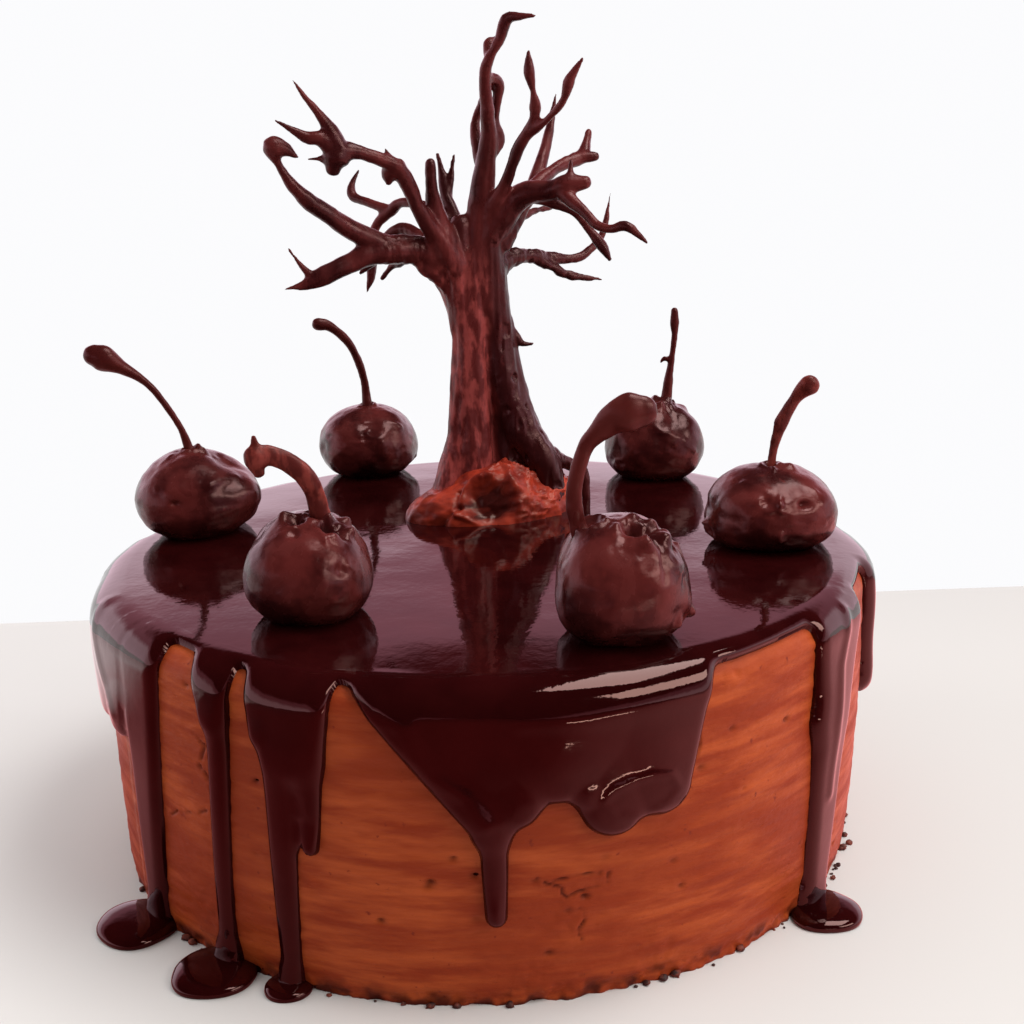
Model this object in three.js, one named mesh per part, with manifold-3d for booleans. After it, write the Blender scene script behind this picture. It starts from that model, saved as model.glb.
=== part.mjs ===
// A black forest cake: a round buttercream cake under a poured ganache that runs down its side,
// with six chocolate-dipped cherries round the top and a modelled chocolate tree planted in a
// torn mound of buttercream. Millimetres, +Z up. The origin is the middle of the flat bottom,
// and the front faces -Y. A bearing is an angle round the cake in degrees from the front,
// growing towards +X.

import * as THREE from 'three';
import { mergeVertices } from 'three/addons/utils/BufferGeometryUtils.js';
import Module from 'manifold-3d';

const wasm = await Module();
wasm.setup();

// ---------------------------------------------------------------- driving dimensions

const CAKE_RADIUS = 97.6; // at the bottom
const CAKE_HEIGHT = 74.5;
const CAKE_FLARE = 1.2; // how much wider it is below the top edge
const CAKE_EDGE = 3.2; // rounding of the top edge
const CAKE_SIDES = 72;
const GAP = 0.3; // left between pieces that touch
const GLAZE_THICKNESS = 2.1;
const GLAZE_TOP = CAKE_HEIGHT + GAP + GLAZE_THICKNESS;

// ganache on the side
const RIM_LINE = 70.4; // height of its edge where nothing runs down
const RIM_WAVE = 0.8;
const FLOW_BLEND = 3; // how softly two runs melt together
const EDGE_ROUND = 2.4; // width of the rounded edge of a run
const EDGE_MIN = 0.5; // thickness left at the very edge
const BEAD = { extra: 1.1, reach: 5 }; // extra thickness where a hanging run ends
const SWELL = { bearing: 84, height: 62, extra: 1.9, reach: 14 }; // thick fold on the right flank

// Runs of ganache: bearing, height and half width at the top, then at the lower end.
const FRONT_RUNS = [
  [-76, 76, 24, -69, 60, 14], // broad lobe on the left flank
  [-62, 76, 10, -61.5, 53, 7.5],
  [-53, 72, 8.5, -55.2, 2, 4.2],
  [-36.1, 72, 3.3, -38.4, 2, 2.6],
  [-24.6, 74, 8.5, -25, 58.5, 7], // web between the next two
  [-26.5, 74, 5, -27.6, 2, 2.5],
  [-22, 72, 4.2, -22.9, 37, 1.9],
  [-5.6, 78, 19.5, 0, 44, 4.6], // left half of the curtain
  [0.4, 46, 3.4, 0.4, 23, 2.5],
  [6, 76, 12, 6.5, 57, 8],
  [17, 76, 22, 15.3, 47, 7.4],
  [22, 76, 13.5, 21.5, 50, 7.6], // right half of the curtain
  [57.5, 76, 14, 53.6, 50, 8],
  [53.6, 50, 7.6, 52.3, 3, 5.4],
  [85, 76, 13, 80, 43, 5.5],
];

// Runs on the back, drawn by rule between two bearings. Most hang, and a few reach the ground.
const BACK_RUNS = {
  count: 9, from: 103, to: 262, jitter: 6, seed: 11, top: 73, lean: 2,
  topWidth: [4, 10], endWidth: [2.3, 3.9], end: [22, 56], low: [2, 6], ground: 2,
};

// Pools at the foot of the long runs: bearing, distance from the axis, radius, height.
const POOLS = [
  [-56, 103.5, 10.3, 3],
  [-38.6, 102.5, 10, 3],
  [-28, 98.8, 5.4, 2.4],
  [50.6, 102.8, 9, 3],
];
const BACK_POOL = [101.5, 8, 2.8]; // the same without the bearing
const POOL_PROFILE = [[0, 0], [0.95, 0], [1, 0.35], [0.8, 0.85], [0, 1]]; // shares: out, up
const POOL_SIDES = 14;

// Cherries: middle on the ganache (x, y), width and height, seed of the lumps.
const CHERRIES = {
  front_left: { at: [-40, -52], size: [28.5, 24.5], seed: 1 },
  front_right: { at: [30.5, -72], size: [29.5, 26.5], seed: 2 },
  left: { at: [-78, 22], size: [33, 24], seed: 3 },
  back_left: { at: [-34.5, 84], size: [31, 20.5], seed: 4 },
  back_right: { at: [54.5, 67], size: [29, 22.5], seed: 5 },
  right: { at: [76, -8], size: [33, 21.5], seed: 6 },
};
const CHERRY_SIDES = 16;
const CHERRY_RINGS = 11;
const CHERRY_LUMP = 0.08; // share of the radius that the lumps move it
const CHERRY_TOP_LUMP = 0.04; // the same for the height
const CHERRY_BELLY = 0.1; // how much wider it is below than above
const CHERRY_FOOT = 0.1; // share of the height that is flattened where it sits
const DIMPLE_DEPTH = 2.6;
const DIMPLE_REACH = 4.5;

// Stems, from the cherry up: x, y, z and width. flat is the thickness over the width.
const STEMS = {
  front_left: {
    flat: 0.6,
    rows: [[-36.5, -53, 93, 5.4], [-36, -53, 97.5, 4.8], [-36.5, -53, 103, 3.8], [-38, -54, 108.5, 3.4],
      [-41.5, -55, 113, 3.8], [-46, -56, 115.5, 4.6], [-49.5, -57, 116, 6.6]],
  },
  front_right: {
    flat: 0.6,
    rows: [[23.5, -73, 97, 5.4], [21.5, -73, 101, 3.6], [20.5, -73, 106.5, 3.2], [21, -73, 112.5, 3.2],
      [23, -73, 118.5, 3.4], [25.5, -74, 122, 4.4], [28.5, -75, 125, 6.4], [33, -76, 127, 8],
      [36.5, -76, 128, 4.6]],
  },
  left: {
    flat: 0.8,
    rows: [[-78.5, 22, 97, 2.8], [-79.5, 22, 101, 2.4], [-81, 21, 106.5, 2.2], [-84, 20, 112.5, 2],
      [-87, 19, 117.5, 2.2], [-91, 18, 121.5, 2.6], [-94.5, 17, 124, 4], [-99.5, 16, 127, 7.6],
      [-103, 16, 128.5, 4]],
  },
  back_left: {
    flat: 0.8,
    rows: [[-34, 84, 92.5, 4.4], [-34, 84, 97.5, 3.2], [-34.5, 84, 104.5, 2.6], [-36, 83, 112, 2.6],
      [-39, 82, 118.5, 2.8], [-44, 81, 123.5, 3], [-48, 80, 124.5, 4]],
  },
  back_right: {
    flat: 0.8,
    rows: [[58, 67, 94, 5], [58.5, 67, 100, 3.6], [59, 67, 104.5, 3], [60, 67, 111.5, 2.2],
      [61, 67, 119, 1.8], [61, 67, 122.5, 2.8], [61, 67, 127.5, 2.2]],
  },
  right: {
    flat: 0.7,
    rows: [[76, -7, 94, 2.4], [76.5, -7, 99, 2], [77.5, -7, 103.5, 2], [79, -8, 109, 2.4],
      [81, -9, 113.5, 2.4], [83, -10, 117, 3], [86, -11, 119, 5]],
  },
};

// Mound at the tree's foot: middle, half length, half depth, height and turn in degrees.
const MOUND = { at: [4, 29], length: 23.5, depth: 14, height: 13.5, turn: 17, seed: 9 };
const MOUND_LUMP = { aside: 0.16, up: 0.2, finer: 1.8, sunk: -0.2 };
const MOUND_SIDES = 18;
const MOUND_RINGS = 6;

// Limbs of the tree, each from its thick end out: x, y, z and diameter. They were modelled by
// hand in chocolate, so every limb has its own bends and knots.
const FEET = [
  [[-12.5, 25, 75, 7], [-10, 27, 82, 7.4], [-6.5, 29, 89.5, 8.4], [-3.5, 30, 101, 8.4],
    [-2.5, 30, 115, 7.8], [-2, 30, 127.5, 7.6], [-2.5, 30, 142, 8.6], [-2, 30, 157.5, 7]],
  [[25, 24, 75, 8], [21.5, 26, 84, 8.4], [16.5, 29, 92, 9.6], [11.5, 31, 101, 10.4], [7, 32, 113, 9.8],
    [5.5, 32, 127, 9], [4.5, 31, 142, 10], [4.5, 31, 163, 9]],
  [[6, 33, 75, 15], [5, 33, 90, 13], [3, 33, 108, 10.5], [2, 32, 132, 8]],
  [[-4, 33, 93, 6], [-9, 40, 84, 4.4], [-14, 46, 76, 3]],
  [[19, 31, 93, 6], [26, 36, 88.5, 4], [30.5, 40, 85, 3.2], [36, 43, 76, 2.6]],
];
const BOUGHS = [
  // low left bough with its bulb and two thorns
  [[-1, 31, 141, 9], [-7, 29, 148, 8.2], [-14.5, 27, 151.5, 7.8], [-23, 24, 152, 7.4],
    [-28, 22, 151, 6.4], [-34, 20, 148.5, 5], [-39, 19, 146.5, 5.4], [-43.5, 18, 144.5, 3.4],
    [-49, 16, 143.5, 0.8]],
  [[-41.5, 18.5, 145.5, 3.2], [-45, 17, 150, 1.4], [-47.5, 16, 154, 0.8]],
  [[-24, 26, 151, 4.4], [-26.5, 30, 148.5, 3.2], [-30, 30, 145.5, 1.6]],
  // long left bough that ends in an egg
  [[-20, 25, 152, 6], [-31, 20, 158, 5.6], [-36, 17, 162, 5], [-41, 14, 166, 4.4],
    [-45, 12, 170.5, 3.4], [-48, 10.5, 176, 2.2], [-49, 10, 180, 6.2], [-46, 10, 179.5, 3.6],
    [-43, 10, 177.5, 0.8]],
  // upper left bough that ends in a claw
  [[-4, 28, 147, 7.5], [-9.5, 24, 156.5, 5.4], [-13, 21, 162.5, 4.4], [-15.5, 18, 169.5, 4.2],
    [-18.5, 15.5, 174.5, 4.2], [-26.5, 12, 178, 3.6], [-30.5, 11, 178.5, 5.4], [-33, 10, 177, 7],
    [-34, 10, 174.5, 4]],
  [[-32, 10, 178, 5.6], [-34, 9, 183.5, 4.2], [-37, 8, 188.5, 2.2], [-40, 7, 192.5, 1.6],
    [-42.5, 6, 196.5, 0.8]],
  [[-33, 10, 178.5, 5], [-36.5, 8, 182, 4], [-40, 7, 182.5, 3], [-43.5, 6, 184.5, 2],
    [-47.5, 5, 187, 0.8]],
  [[-33.5, 10, 176.5, 3.6], [-37.5, 10, 177, 1.4], [-40.5, 10, 177, 0.8]],
  [[-17.5, 16, 174.5, 4], [-20, 17, 172.5, 5.2], [-20.5, 17, 170, 1.6]],
  [[-19, 15.5, 175, 3], [-21, 16, 179, 0.8]],
  // fork behind the left side
  [[-1, 32, 152, 5], [-8, 38, 160, 3.8], [-17, 46, 163, 3], [-22, 50, 160.5, 3.2],
    [-27, 52, 155, 2.8], [-28, 47, 144, 2.8], [-29.5, 45, 138.5, 0.8]],
  [[-22, 50, 160.5, 3], [-29, 54, 163, 2.8], [-33, 57, 164.5, 2.8], [-33, 58, 168, 2.2],
    [-31, 59, 171.5, 0.8]],
  [[-15, 29, 151.5, 4.5], [-21.5, 36, 146.5, 2.6], [-24.5, 37, 143, 2]],
  [[-5, 31, 151, 4], [-13.5, 38, 154.5, 3], [-18.5, 42, 156, 4], [-24, 44, 154, 1.4]],
  // upright stubs and twin twigs left of the crown
  [[-4, 29, 148, 7], [-8.5, 25, 161.5, 4.8], [-9.5, 23, 168.5, 3.4], [-9.5, 22, 174.5, 3]],
  [[0, 33, 150, 5], [-4.5, 38, 161.5, 3.4], [-6, 40, 165, 3.6], [-7, 42, 171, 2.2],
    [-8, 43, 176, 1.2]],
  [[-5.5, 40, 163, 3], [-4.5, 41, 169.5, 1.6], [-3.5, 42, 175.5, 0.8]],
  // leader with its crooked tip
  [[2, 31, 152, 9], [4, 29, 167, 6.4], [6, 26, 180, 5], [6, 24, 186.5, 3.8], [5.5, 22.5, 196, 3.6],
    [7, 21, 201, 2.6], [9.5, 20, 205, 2.6], [11.5, 20, 210, 3.4], [14.5, 18, 210.5, 2],
    [18.5, 16, 210.5, 1]],
  [[4.5, 29, 171, 4], [2.5, 33, 182.5, 2.8], [4.5, 33, 189, 2], [6, 25, 193.5, 2.4]],
  [[6, 23, 196, 3], [9, 27, 194, 3.2], [8, 28, 185, 2.4], [9, 29, 179.5, 3], [5.5, 27.5, 174, 3]],
  [[6.5, 22.5, 200, 2.4], [7, 24, 204, 3.2], [8.5, 26, 206, 1]],
  // pair of twigs right of the leader
  [[5, 29, 158, 6], [10.5, 24, 169.5, 3.6], [13, 20, 176.5, 3.4], [17.5, 15, 185, 3],
    [18, 14, 188.5, 3.4], [17.5, 13, 192, 1.8], [16.5, 12, 197, 3.2], [16.5, 12, 202, 1]],
  [[16, 17, 181.5, 3], [22, 11, 186, 2.2], [25, 8, 190, 2], [26.5, 6, 194.5, 3], [29.5, 4, 199.5, 0.8]],
  [[9, 31, 152, 5], [14, 34, 159.5, 4], [19, 40, 168.5, 4.4], [22.5, 46, 178.5, 3], [24, 48, 184.5, 2],
    [25.5, 50, 191, 0.8]],
  // right bough with its cut end, thorn and the bough behind it
  [[3, 31, 151, 9], [11.5, 28, 162.5, 7.6], [16.5, 26, 166, 6.6], [22.5, 24, 166.5, 5.6],
    [26.5, 22, 168, 5.6], [31, 21, 168.5, 4]],
  [[27, 22, 167, 3.4], [27.5, 22, 174, 1.2]],
  [[15, 29, 165, 4.4], [23, 38, 170.5, 3.6], [27, 42, 172.5, 3.6], [32, 46, 174, 4.2],
    [33.5, 48, 177, 2.8], [34.5, 50, 180.5, 2.2]],
  [[30, 45, 173.5, 4], [36, 45, 174, 2.4]],
  // twigs that hang from the right bough
  [[24, 23, 167, 4.4], [30, 17, 161.5, 3.2], [33.5, 14, 158, 2.8], [37, 12, 157, 2.4],
    [41, 10, 157.5, 2.8], [46, 8, 153.5, 1]],
  [[17, 27, 165, 4], [25, 26, 162, 2.6], [29, 25, 160, 2.4], [32, 24, 156, 2.4],
    [35.5, 23, 151.5, 3], [37.5, 22, 148, 1.2]],
  // low right bough that curls up at the end, its fork, and a twig behind
  [[4, 32, 143, 8], [11.5, 38, 147.5, 5.2], [19, 44, 147, 4], [23.5, 47, 146, 3.4],
    [30.5, 50, 145.5, 2.6], [35, 52, 148, 2.4], [38.5, 54, 152, 2.4], [41, 56, 163, 0.8]],
  [[18, 43, 147, 3.4], [26, 46, 142, 2.8], [31, 47, 140.5, 2.6], [37.5, 48, 139.5, 0.8]],
  [[7, 34, 149, 5], [12.5, 46, 155.5, 2.8], [17.5, 52, 158.5, 2.2], [24, 58, 159.5, 1.6]],
  [[8, 32, 133, 4], [10.5, 32, 127.5, 2], [15, 32, 124.5, 0.8]],
];

// ---------------------------------------------------------------- helpers

const radians = THREE.MathUtils.degToRad;
const MM_PER_DEGREE = radians(CAKE_RADIUS + 1);

// A repeatable stream of numbers from 0 to 1.
function randomStream(seed) {
  let state = seed * 9781 + 1;
  return () => {
    state = (state * 16807) % 2147483647;
    return state / 2147483647;
  };
}

function toSolid(geometry) {
  const plain = geometry.clone();
  plain.deleteAttribute('normal');
  plain.deleteAttribute('uv');
  const merged = mergeVertices(plain, 1e-4);
  return new wasm.Manifold(new wasm.Mesh({
    numProp: 3,
    vertProperties: Float32Array.from(merged.attributes.position.array),
    triVerts: Uint32Array.from(merged.index.array),
  }));
}

function toGeometry(solid) {
  const mesh = solid.getMesh();
  const geometry = new THREE.BufferGeometry();
  geometry.setAttribute('position', new THREE.BufferAttribute(mesh.vertProperties, 3));
  geometry.setIndex(new THREE.BufferAttribute(mesh.triVerts, 1));
  geometry.computeVertexNormals();
  return geometry;
}

function moveVertices(geometry, rule) {
  const place = geometry.attributes.position;
  const point = new THREE.Vector3();
  for (let i = 0; i < place.count; i += 1) {
    point.fromBufferAttribute(place, i);
    rule(point);
    place.setXYZ(i, point.x, point.y, point.z);
  }
  return geometry;
}

// Everything below a height, as a block that cuts it away.
function blockBelow(height) {
  const side = 3 * CAKE_RADIUS;
  return toSolid(new THREE.BoxGeometry(side, side, side).translate(0, 0, height - side / 2));
}

// A bent round bar with a ring at each row of x, y, z and width. extra makes it fatter all over,
// and flat is its thickness along Y over its width.
function limb(rows, extra = 0, flat = 1) {
  const widest = Math.max(...rows.map((row) => row[3]));
  const sides = [5, 6, 8][(widest > 4.1) + (widest > 7.2)];
  const curve = new THREE.CatmullRomCurve3(rows.map((row) => new THREE.Vector3(...row)));
  const last = rows.length - 1;
  const rings = rows.map((row, index) => ({
    middle: new THREE.Vector3(...row),
    radius: row[3] / 2 + extra,
    along: curve.getTangent(index / last),
  }));
  const side = new THREE.Vector3(0, 1, 0).cross(rings[0].along);
  if (side.length() < 0.3) side.set(1, 0, 0);
  rings.forEach((ring) => {
    side.addScaledVector(ring.along, -side.dot(ring.along)).normalize();
    ring.side = side.clone();
    ring.across = new THREE.Vector3().crossVectors(ring.along, side);
  });
  const bar = new THREE.CylinderGeometry(1, 1, 1, sides, last);
  return toSolid(moveVertices(bar, (point) => {
    const ring = rings[Math.round((0.5 - point.y) * last)];
    const reach = Math.hypot(point.x, point.z) > 0.5 ? ring.radius : 0;
    const angle = Math.atan2(point.z, point.x);
    const section = new THREE.Vector3()
      .addScaledVector(ring.side, Math.cos(angle) * reach)
      .addScaledVector(ring.across, Math.sin(angle) * reach);
    section.y *= flat;
    point.copy(ring.middle).add(section);
  }));
}

function onBearing(bearing, distance, height) {
  const angle = radians(bearing);
  return new THREE.Vector3(Math.sin(angle) * distance, -Math.cos(angle) * distance, height);
}

// ---------------------------------------------------------------- cake

const SIDE_TOP = CAKE_HEIGHT - CAKE_EDGE;
const EDGE_CENTRE = CAKE_RADIUS + CAKE_FLARE - CAKE_EDGE; // of the rounded edge, from the axis

function sideRadius(height) {
  return CAKE_RADIUS + CAKE_FLARE * Math.max(height, 0) / SIDE_TOP;
}

// Side view of the cake, grown by an offset. Its top edge is a plain bevel under the ganache.
function cakeProfile(offset, bottom) {
  return [
    new THREE.Vector2(0, bottom),
    new THREE.Vector2(sideRadius(bottom) + offset, bottom),
    new THREE.Vector2(EDGE_CENTRE + CAKE_EDGE + offset, SIDE_TOP),
    new THREE.Vector2(EDGE_CENTRE, CAKE_HEIGHT + offset),
    new THREE.Vector2(0, CAKE_HEIGHT + offset),
  ];
}

// LatheGeometry turns about Y, so the profile is made upright and tipped on to Z.
function turned(profile, sides) {
  return new THREE.LatheGeometry(profile, sides).rotateX(Math.PI / 2);
}

// ---------------------------------------------------------------- ganache

// The runs that are not shown from the front, drawn by rule.
function backRuns() {
  const rule = BACK_RUNS;
  const draw = randomStream(rule.seed);
  const between = ([least, most]) => THREE.MathUtils.lerp(least, most, draw());
  const spacing = (rule.to - rule.from) / (rule.count - 1);
  return Array.from({ length: rule.count }, (_, index) => {
    const bearing = rule.from + index * spacing + (draw() - 0.5) * rule.jitter;
    const endWidth = between(rule.endWidth);
    const end = rule.low.includes(index) ? rule.ground : between(rule.end);
    const endBearing = bearing + (draw() - 0.5) * rule.lean;
    return [bearing, rule.top, between(rule.topWidth), endBearing, end, endWidth];
  });
}

const RUNS = [...FRONT_RUNS, ...backRuns()];
const HANGING = RUNS.filter((run) => run[4] > 10); // those that end well clear of the ground

const turnBetween = (a, b) => THREE.MathUtils.euclideanModulo(a - b + 180, 360) - 180;

function softMin(a, b, reach) {
  const share = Math.max(reach - Math.abs(a - b), 0) / reach;
  return Math.min(a, b) - share * share * reach * 0.25;
}

// How far a spot on the side lies outside one run, measured on the unrolled side.
function outsideRun([topBearing, top, topWidth, endBearing, end, endWidth], bearing, height) {
  const x = turnBetween(bearing, topBearing) * MM_PER_DEGREE;
  const endX = turnBetween(endBearing, topBearing) * MM_PER_DEGREE;
  const fall = end - top;
  const share = (x * endX + (height - top) * fall) / (endX * endX + fall * fall);
  const held = THREE.MathUtils.clamp(share, 0, 1);
  const away = Math.hypot(x - held * endX, height - top - held * fall);
  return away - THREE.MathUtils.lerp(topWidth, endWidth, held);
}

// Negative inside the ganache, positive on bare buttercream.
function outsideGlaze(bearing, height) {
  const wave = Math.sin(radians(bearing * 7 + 40)) + Math.sin(radians(bearing * 11 - 25));
  const rim = RIM_LINE + RIM_WAVE * wave / 2 - height;
  return RUNS.reduce((held, run) => softMin(held, outsideRun(run, bearing, height), FLOW_BLEND), rim);
}

// A soft bump on the side round one spot.
function bump(bearing, height, spotBearing, spotHeight, reach) {
  const across = turnBetween(bearing, spotBearing) * MM_PER_DEGREE;
  return Math.exp(-((across * across + (height - spotHeight) ** 2) / (reach * reach)));
}

// Thickness of the ganache, rounded off towards its edge and beaded where a run hangs.
function glazeThickness(bearing, height) {
  const inside = THREE.MathUtils.clamp(-outsideGlaze(bearing, height) / EDGE_ROUND, 0, 1);
  const bead = HANGING.reduce((held, run) => (
    Math.max(held, BEAD.extra * bump(bearing, height, run[3], run[4], BEAD.reach))), 0);
  const swell = SWELL.extra * bump(bearing, height, SWELL.bearing, SWELL.height, SWELL.reach);
  return Math.max(EDGE_MIN, (GLAZE_THICKNESS + bead + swell) * Math.sqrt(1 - (1 - inside) ** 2));
}

// Lowest height that the ganache reaches at a bearing, where it hangs from the rim.
function glazeEdge(bearing) {
  const step = 0.5;
  let edge = RIM_LINE;
  while (edge > 0 && outsideGlaze(bearing, edge - step) < 0) edge -= step;
  return Math.max(edge, 0);
}

// A place on the cake's skin: height runs up the side, over the rounded edge and in along the
// top, and offset is the distance out of the skin.
function onSkin(bearing, height, offset) {
  if (height <= SIDE_TOP) return onBearing(bearing, sideRadius(height) + offset, height);
  const angle = Math.min((height - SIDE_TOP) / CAKE_EDGE, Math.PI / 2);
  const corner = CAKE_EDGE + offset;
  return onBearing(bearing, EDGE_CENTRE + corner * Math.cos(angle), SIDE_TOP + corner * Math.sin(angle));
}

const SKIN_TOP = SIDE_TOP + CAKE_EDGE * Math.PI / 2;
const OUTER_RIM_STEPS = 3; // flats of the ganache round the rim
const INNER_RIM_STEPS = 2;
const RIM_BLEND = 2; // the side's thickness turns to the top's over this height
const LAST_ROW = { height: 2.6, share: 0.3 }; // of the last row over the edge, at most
const RUN_COLUMNS = [-1.1, -0.85, -0.35, 0.35, 0.85, 1.1]; // across the end of a run, in half widths

// Heights of the rows of one column: some round the rim, then shares of what hangs below it.
function columnHeights(edge, rimSteps, shares) {
  const rim = SKIN_TOP - SIDE_TOP;
  const overRim = Array.from({ length: rimSteps + 1 }, (_, step) => SKIN_TOP - rim * step / rimSteps);
  const below = SIDE_TOP - edge;
  return [...overRim, ...shares(below).map((share) => SIDE_TOP - below * share)];
}

const OUTER_ROWS = (below) => [0.5, 1 - Math.min(LAST_ROW.height / below, LAST_ROW.share), 1];
const INNER_ROWS = () => [1];

// Bearings of the columns: some across the end of each run, and more where the edge is steep.
function columnBearings() {
  const coarse = 6;
  const fine = 2;
  const steep = 10;
  const closest = 0.3;
  const ends = RUNS.flatMap((run) => RUN_COLUMNS.map((share) => (
    turnBetween(run[3] + share * run[5] / MM_PER_DEGREE, 0))));
  const grid = Array.from({ length: 360 / coarse }, (_, index) => -180 + index * coarse);
  const marks = [...ends, ...grid].sort((a, b) => a - b)
    .filter((mark, index, all) => index === 0 || mark - all[index - 1] > closest);
  const bearings = [];
  const split = (from, to) => {
    const middle = (from + to) / 2;
    const bow = Math.abs(glazeEdge(middle) - (glazeEdge(from) + glazeEdge(to)) / 2);
    const drop = Math.abs(glazeEdge(from) - glazeEdge(to));
    if (to - from > fine && Math.max(drop, bow * 2) > steep) {
      split(from, middle);
      split(middle, to);
    } else {
      bearings.push(from);
    }
  };
  marks.forEach((mark, index) => split(mark, marks[index + 1] ?? 180));
  return bearings;
}

// The poured sheet: an outer and an inner skin in matching columns, joined along the edge.
function sheetGeometry() {
  const bearings = columnBearings();
  const points = [];
  const faces = [];
  const addSkin = (rowsOf, centreHeight) => {
    const start = points.length;
    bearings.forEach((bearing) => points.push(...rowsOf(bearing)));
    points.push(new THREE.Vector3(0, 0, centreHeight));
    return { start, centre: points.length - 1, rows: (points.length - 1 - start) / bearings.length };
  };
  const outer = addSkin((bearing) => columnHeights(glazeEdge(bearing), OUTER_RIM_STEPS, OUTER_ROWS)
    .map((height) => onSkin(bearing, height, GAP + thicknessOnSkin(bearing, height))), GLAZE_TOP);
  const inner = addSkin((bearing) => columnHeights(glazeEdge(bearing), INNER_RIM_STEPS, INNER_ROWS)
    .map((height) => onSkin(bearing, height, GAP)), CAKE_HEIGHT + GAP);
  const corner = (skin, column, row) => skin.start + (column % bearings.length) * skin.rows + row;
  bearings.forEach((_, column) => {
    faces.push(outer.centre, corner(outer, column, 0), corner(outer, column + 1, 0));
    faces.push(inner.centre, corner(inner, column + 1, 0), corner(inner, column, 0));
    for (let row = 0; row < outer.rows - 1; row += 1) {
      pushQuad(faces, corner(outer, column, row), corner(outer, column, row + 1),
        corner(outer, column + 1, row + 1), corner(outer, column + 1, row));
    }
    for (let row = 0; row < inner.rows - 1; row += 1) {
      pushQuad(faces, corner(inner, column, row), corner(inner, column + 1, row),
        corner(inner, column + 1, row + 1), corner(inner, column, row + 1));
    }
    pushQuad(faces, corner(outer, column, outer.rows - 1), corner(inner, column, inner.rows - 1),
      corner(inner, column + 1, inner.rows - 1), corner(outer, column + 1, outer.rows - 1));
  });
  const geometry = new THREE.BufferGeometry().setFromPoints(points);
  geometry.setIndex(faces);
  return geometry;
}

// On top the sheet has its full thickness, and down the side it follows its runs.
function thicknessOnSkin(bearing, height) {
  const over = THREE.MathUtils.smoothstep(height, CAKE_HEIGHT - RIM_BLEND, SKIN_TOP);
  return THREE.MathUtils.lerp(glazeThickness(bearing, height), GLAZE_THICKNESS, over);
}

function pushQuad(faces, a, b, c, d) {
  faces.push(a, b, c, a, c, d);
}

// A pool on the ground: a low dome with a rounded edge.
function poolGeometry([bearing, distance, radius, height]) {
  const profile = POOL_PROFILE.map(([out, up]) => new THREE.Vector2(out * radius, up * height));
  const place = onBearing(bearing, distance, 0);
  return turned(profile, POOL_SIDES).translate(place.x, place.y, 0);
}

function glazeSolid() {
  const backPools = BACK_RUNS.low.map((index) => (
    [RUNS[FRONT_RUNS.length + index][3], ...BACK_POOL]));
  const room = toSolid(turned(cakeProfile(GAP, -1), CAKE_SIDES));
  return [...POOLS, ...backPools]
    .map((pool) => toSolid(poolGeometry(pool)).subtract(room))
    .reduce((held, pool) => held.add(pool), toSolid(sheetGeometry()));
}

// ---------------------------------------------------------------- cherries

// A smooth bumpy field on the sphere of directions, from a few tilted waves.
function lumpField(seed, waves) {
  const draw = randomStream(seed);
  const tilts = Array.from({ length: waves }, () => {
    const tilt = new THREE.Vector3(draw() - 0.5, draw() - 0.5, draw() - 0.5);
    return tilt.setLength(THREE.MathUtils.lerp(2.2, 4.8, draw()));
  });
  const shifts = tilts.map(() => draw() * Math.PI * 2);
  return (direction) => tilts.reduce((sum, tilt, index) => (
    sum + Math.sin(tilt.dot(direction) + shifts[index])), 0) / waves;
}

// A cherry in its chocolate coat: a squat lumpy ball with a flat foot and a dimple at the stem.
function cherrySolid({ at, size: [width, height], seed }, stem) {
  const field = lumpField(seed, 5);
  const floor = GLAZE_TOP + GAP;
  const ball = new THREE.SphereGeometry(1, CHERRY_SIDES, CHERRY_RINGS).rotateX(Math.PI / 2);
  const bottom = floor - height * CHERRY_FOOT;
  const middle = (bottom + floor + height) / 2;
  const half = floor + height - middle;
  moveVertices(ball, (point) => {
    const lump = field(point);
    const reach = (1 + CHERRY_LUMP * lump) * (1 - CHERRY_BELLY * point.z) * width / 2;
    const x = at[0] + point.x * reach;
    const y = at[1] + point.y * reach;
    const z = middle + point.z * half * (1 + CHERRY_TOP_LUMP * (lump - 1));
    const away = Math.hypot(x - stem[0], y - stem[1]) / DIMPLE_REACH;
    point.set(x, y, point.z > 0 ? z - DIMPLE_DEPTH * Math.exp(-away * away) : z);
  });
  return toSolid(ball).subtract(blockBelow(floor));
}

// ---------------------------------------------------------------- mound and tree

function treeSolid() {
  const limbs = [...FEET, ...BOUGHS].map((rows) => limb(rows));
  return limbs.reduce((held, bar) => held.add(bar)).subtract(blockBelow(GLAZE_TOP + GAP));
}

// Torn buttercream pressed round the foot of the tree, with room for the limbs that stand in it.
function moundSolid() {
  const { at, length, depth, height, turn, seed } = MOUND;
  const field = lumpField(seed, 6);
  const floor = GLAZE_TOP + GAP;
  const dome = new THREE.SphereGeometry(1, MOUND_SIDES, MOUND_RINGS * 2).rotateX(Math.PI / 2);
  moveVertices(dome, (point) => {
    const swell = 1 + MOUND_LUMP.aside * field(point);
    const place = new THREE.Vector2(point.x * length, point.y * depth).multiplyScalar(swell);
    place.rotateAround(new THREE.Vector2(), radians(turn));
    const peak = 1 + MOUND_LUMP.up * field(point.clone().multiplyScalar(MOUND_LUMP.finer));
    const up = Math.max(point.z, MOUND_LUMP.sunk) * height * peak;
    point.set(at[0] + place.x, at[1] + place.y, floor + up);
  });
  const room = FEET.map((rows) => limb(rows, GAP)).reduce((held, bar) => held.add(bar));
  return toSolid(dome).subtract(blockBelow(floor)).subtract(room);
}

// ---------------------------------------------------------------- assembly

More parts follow.
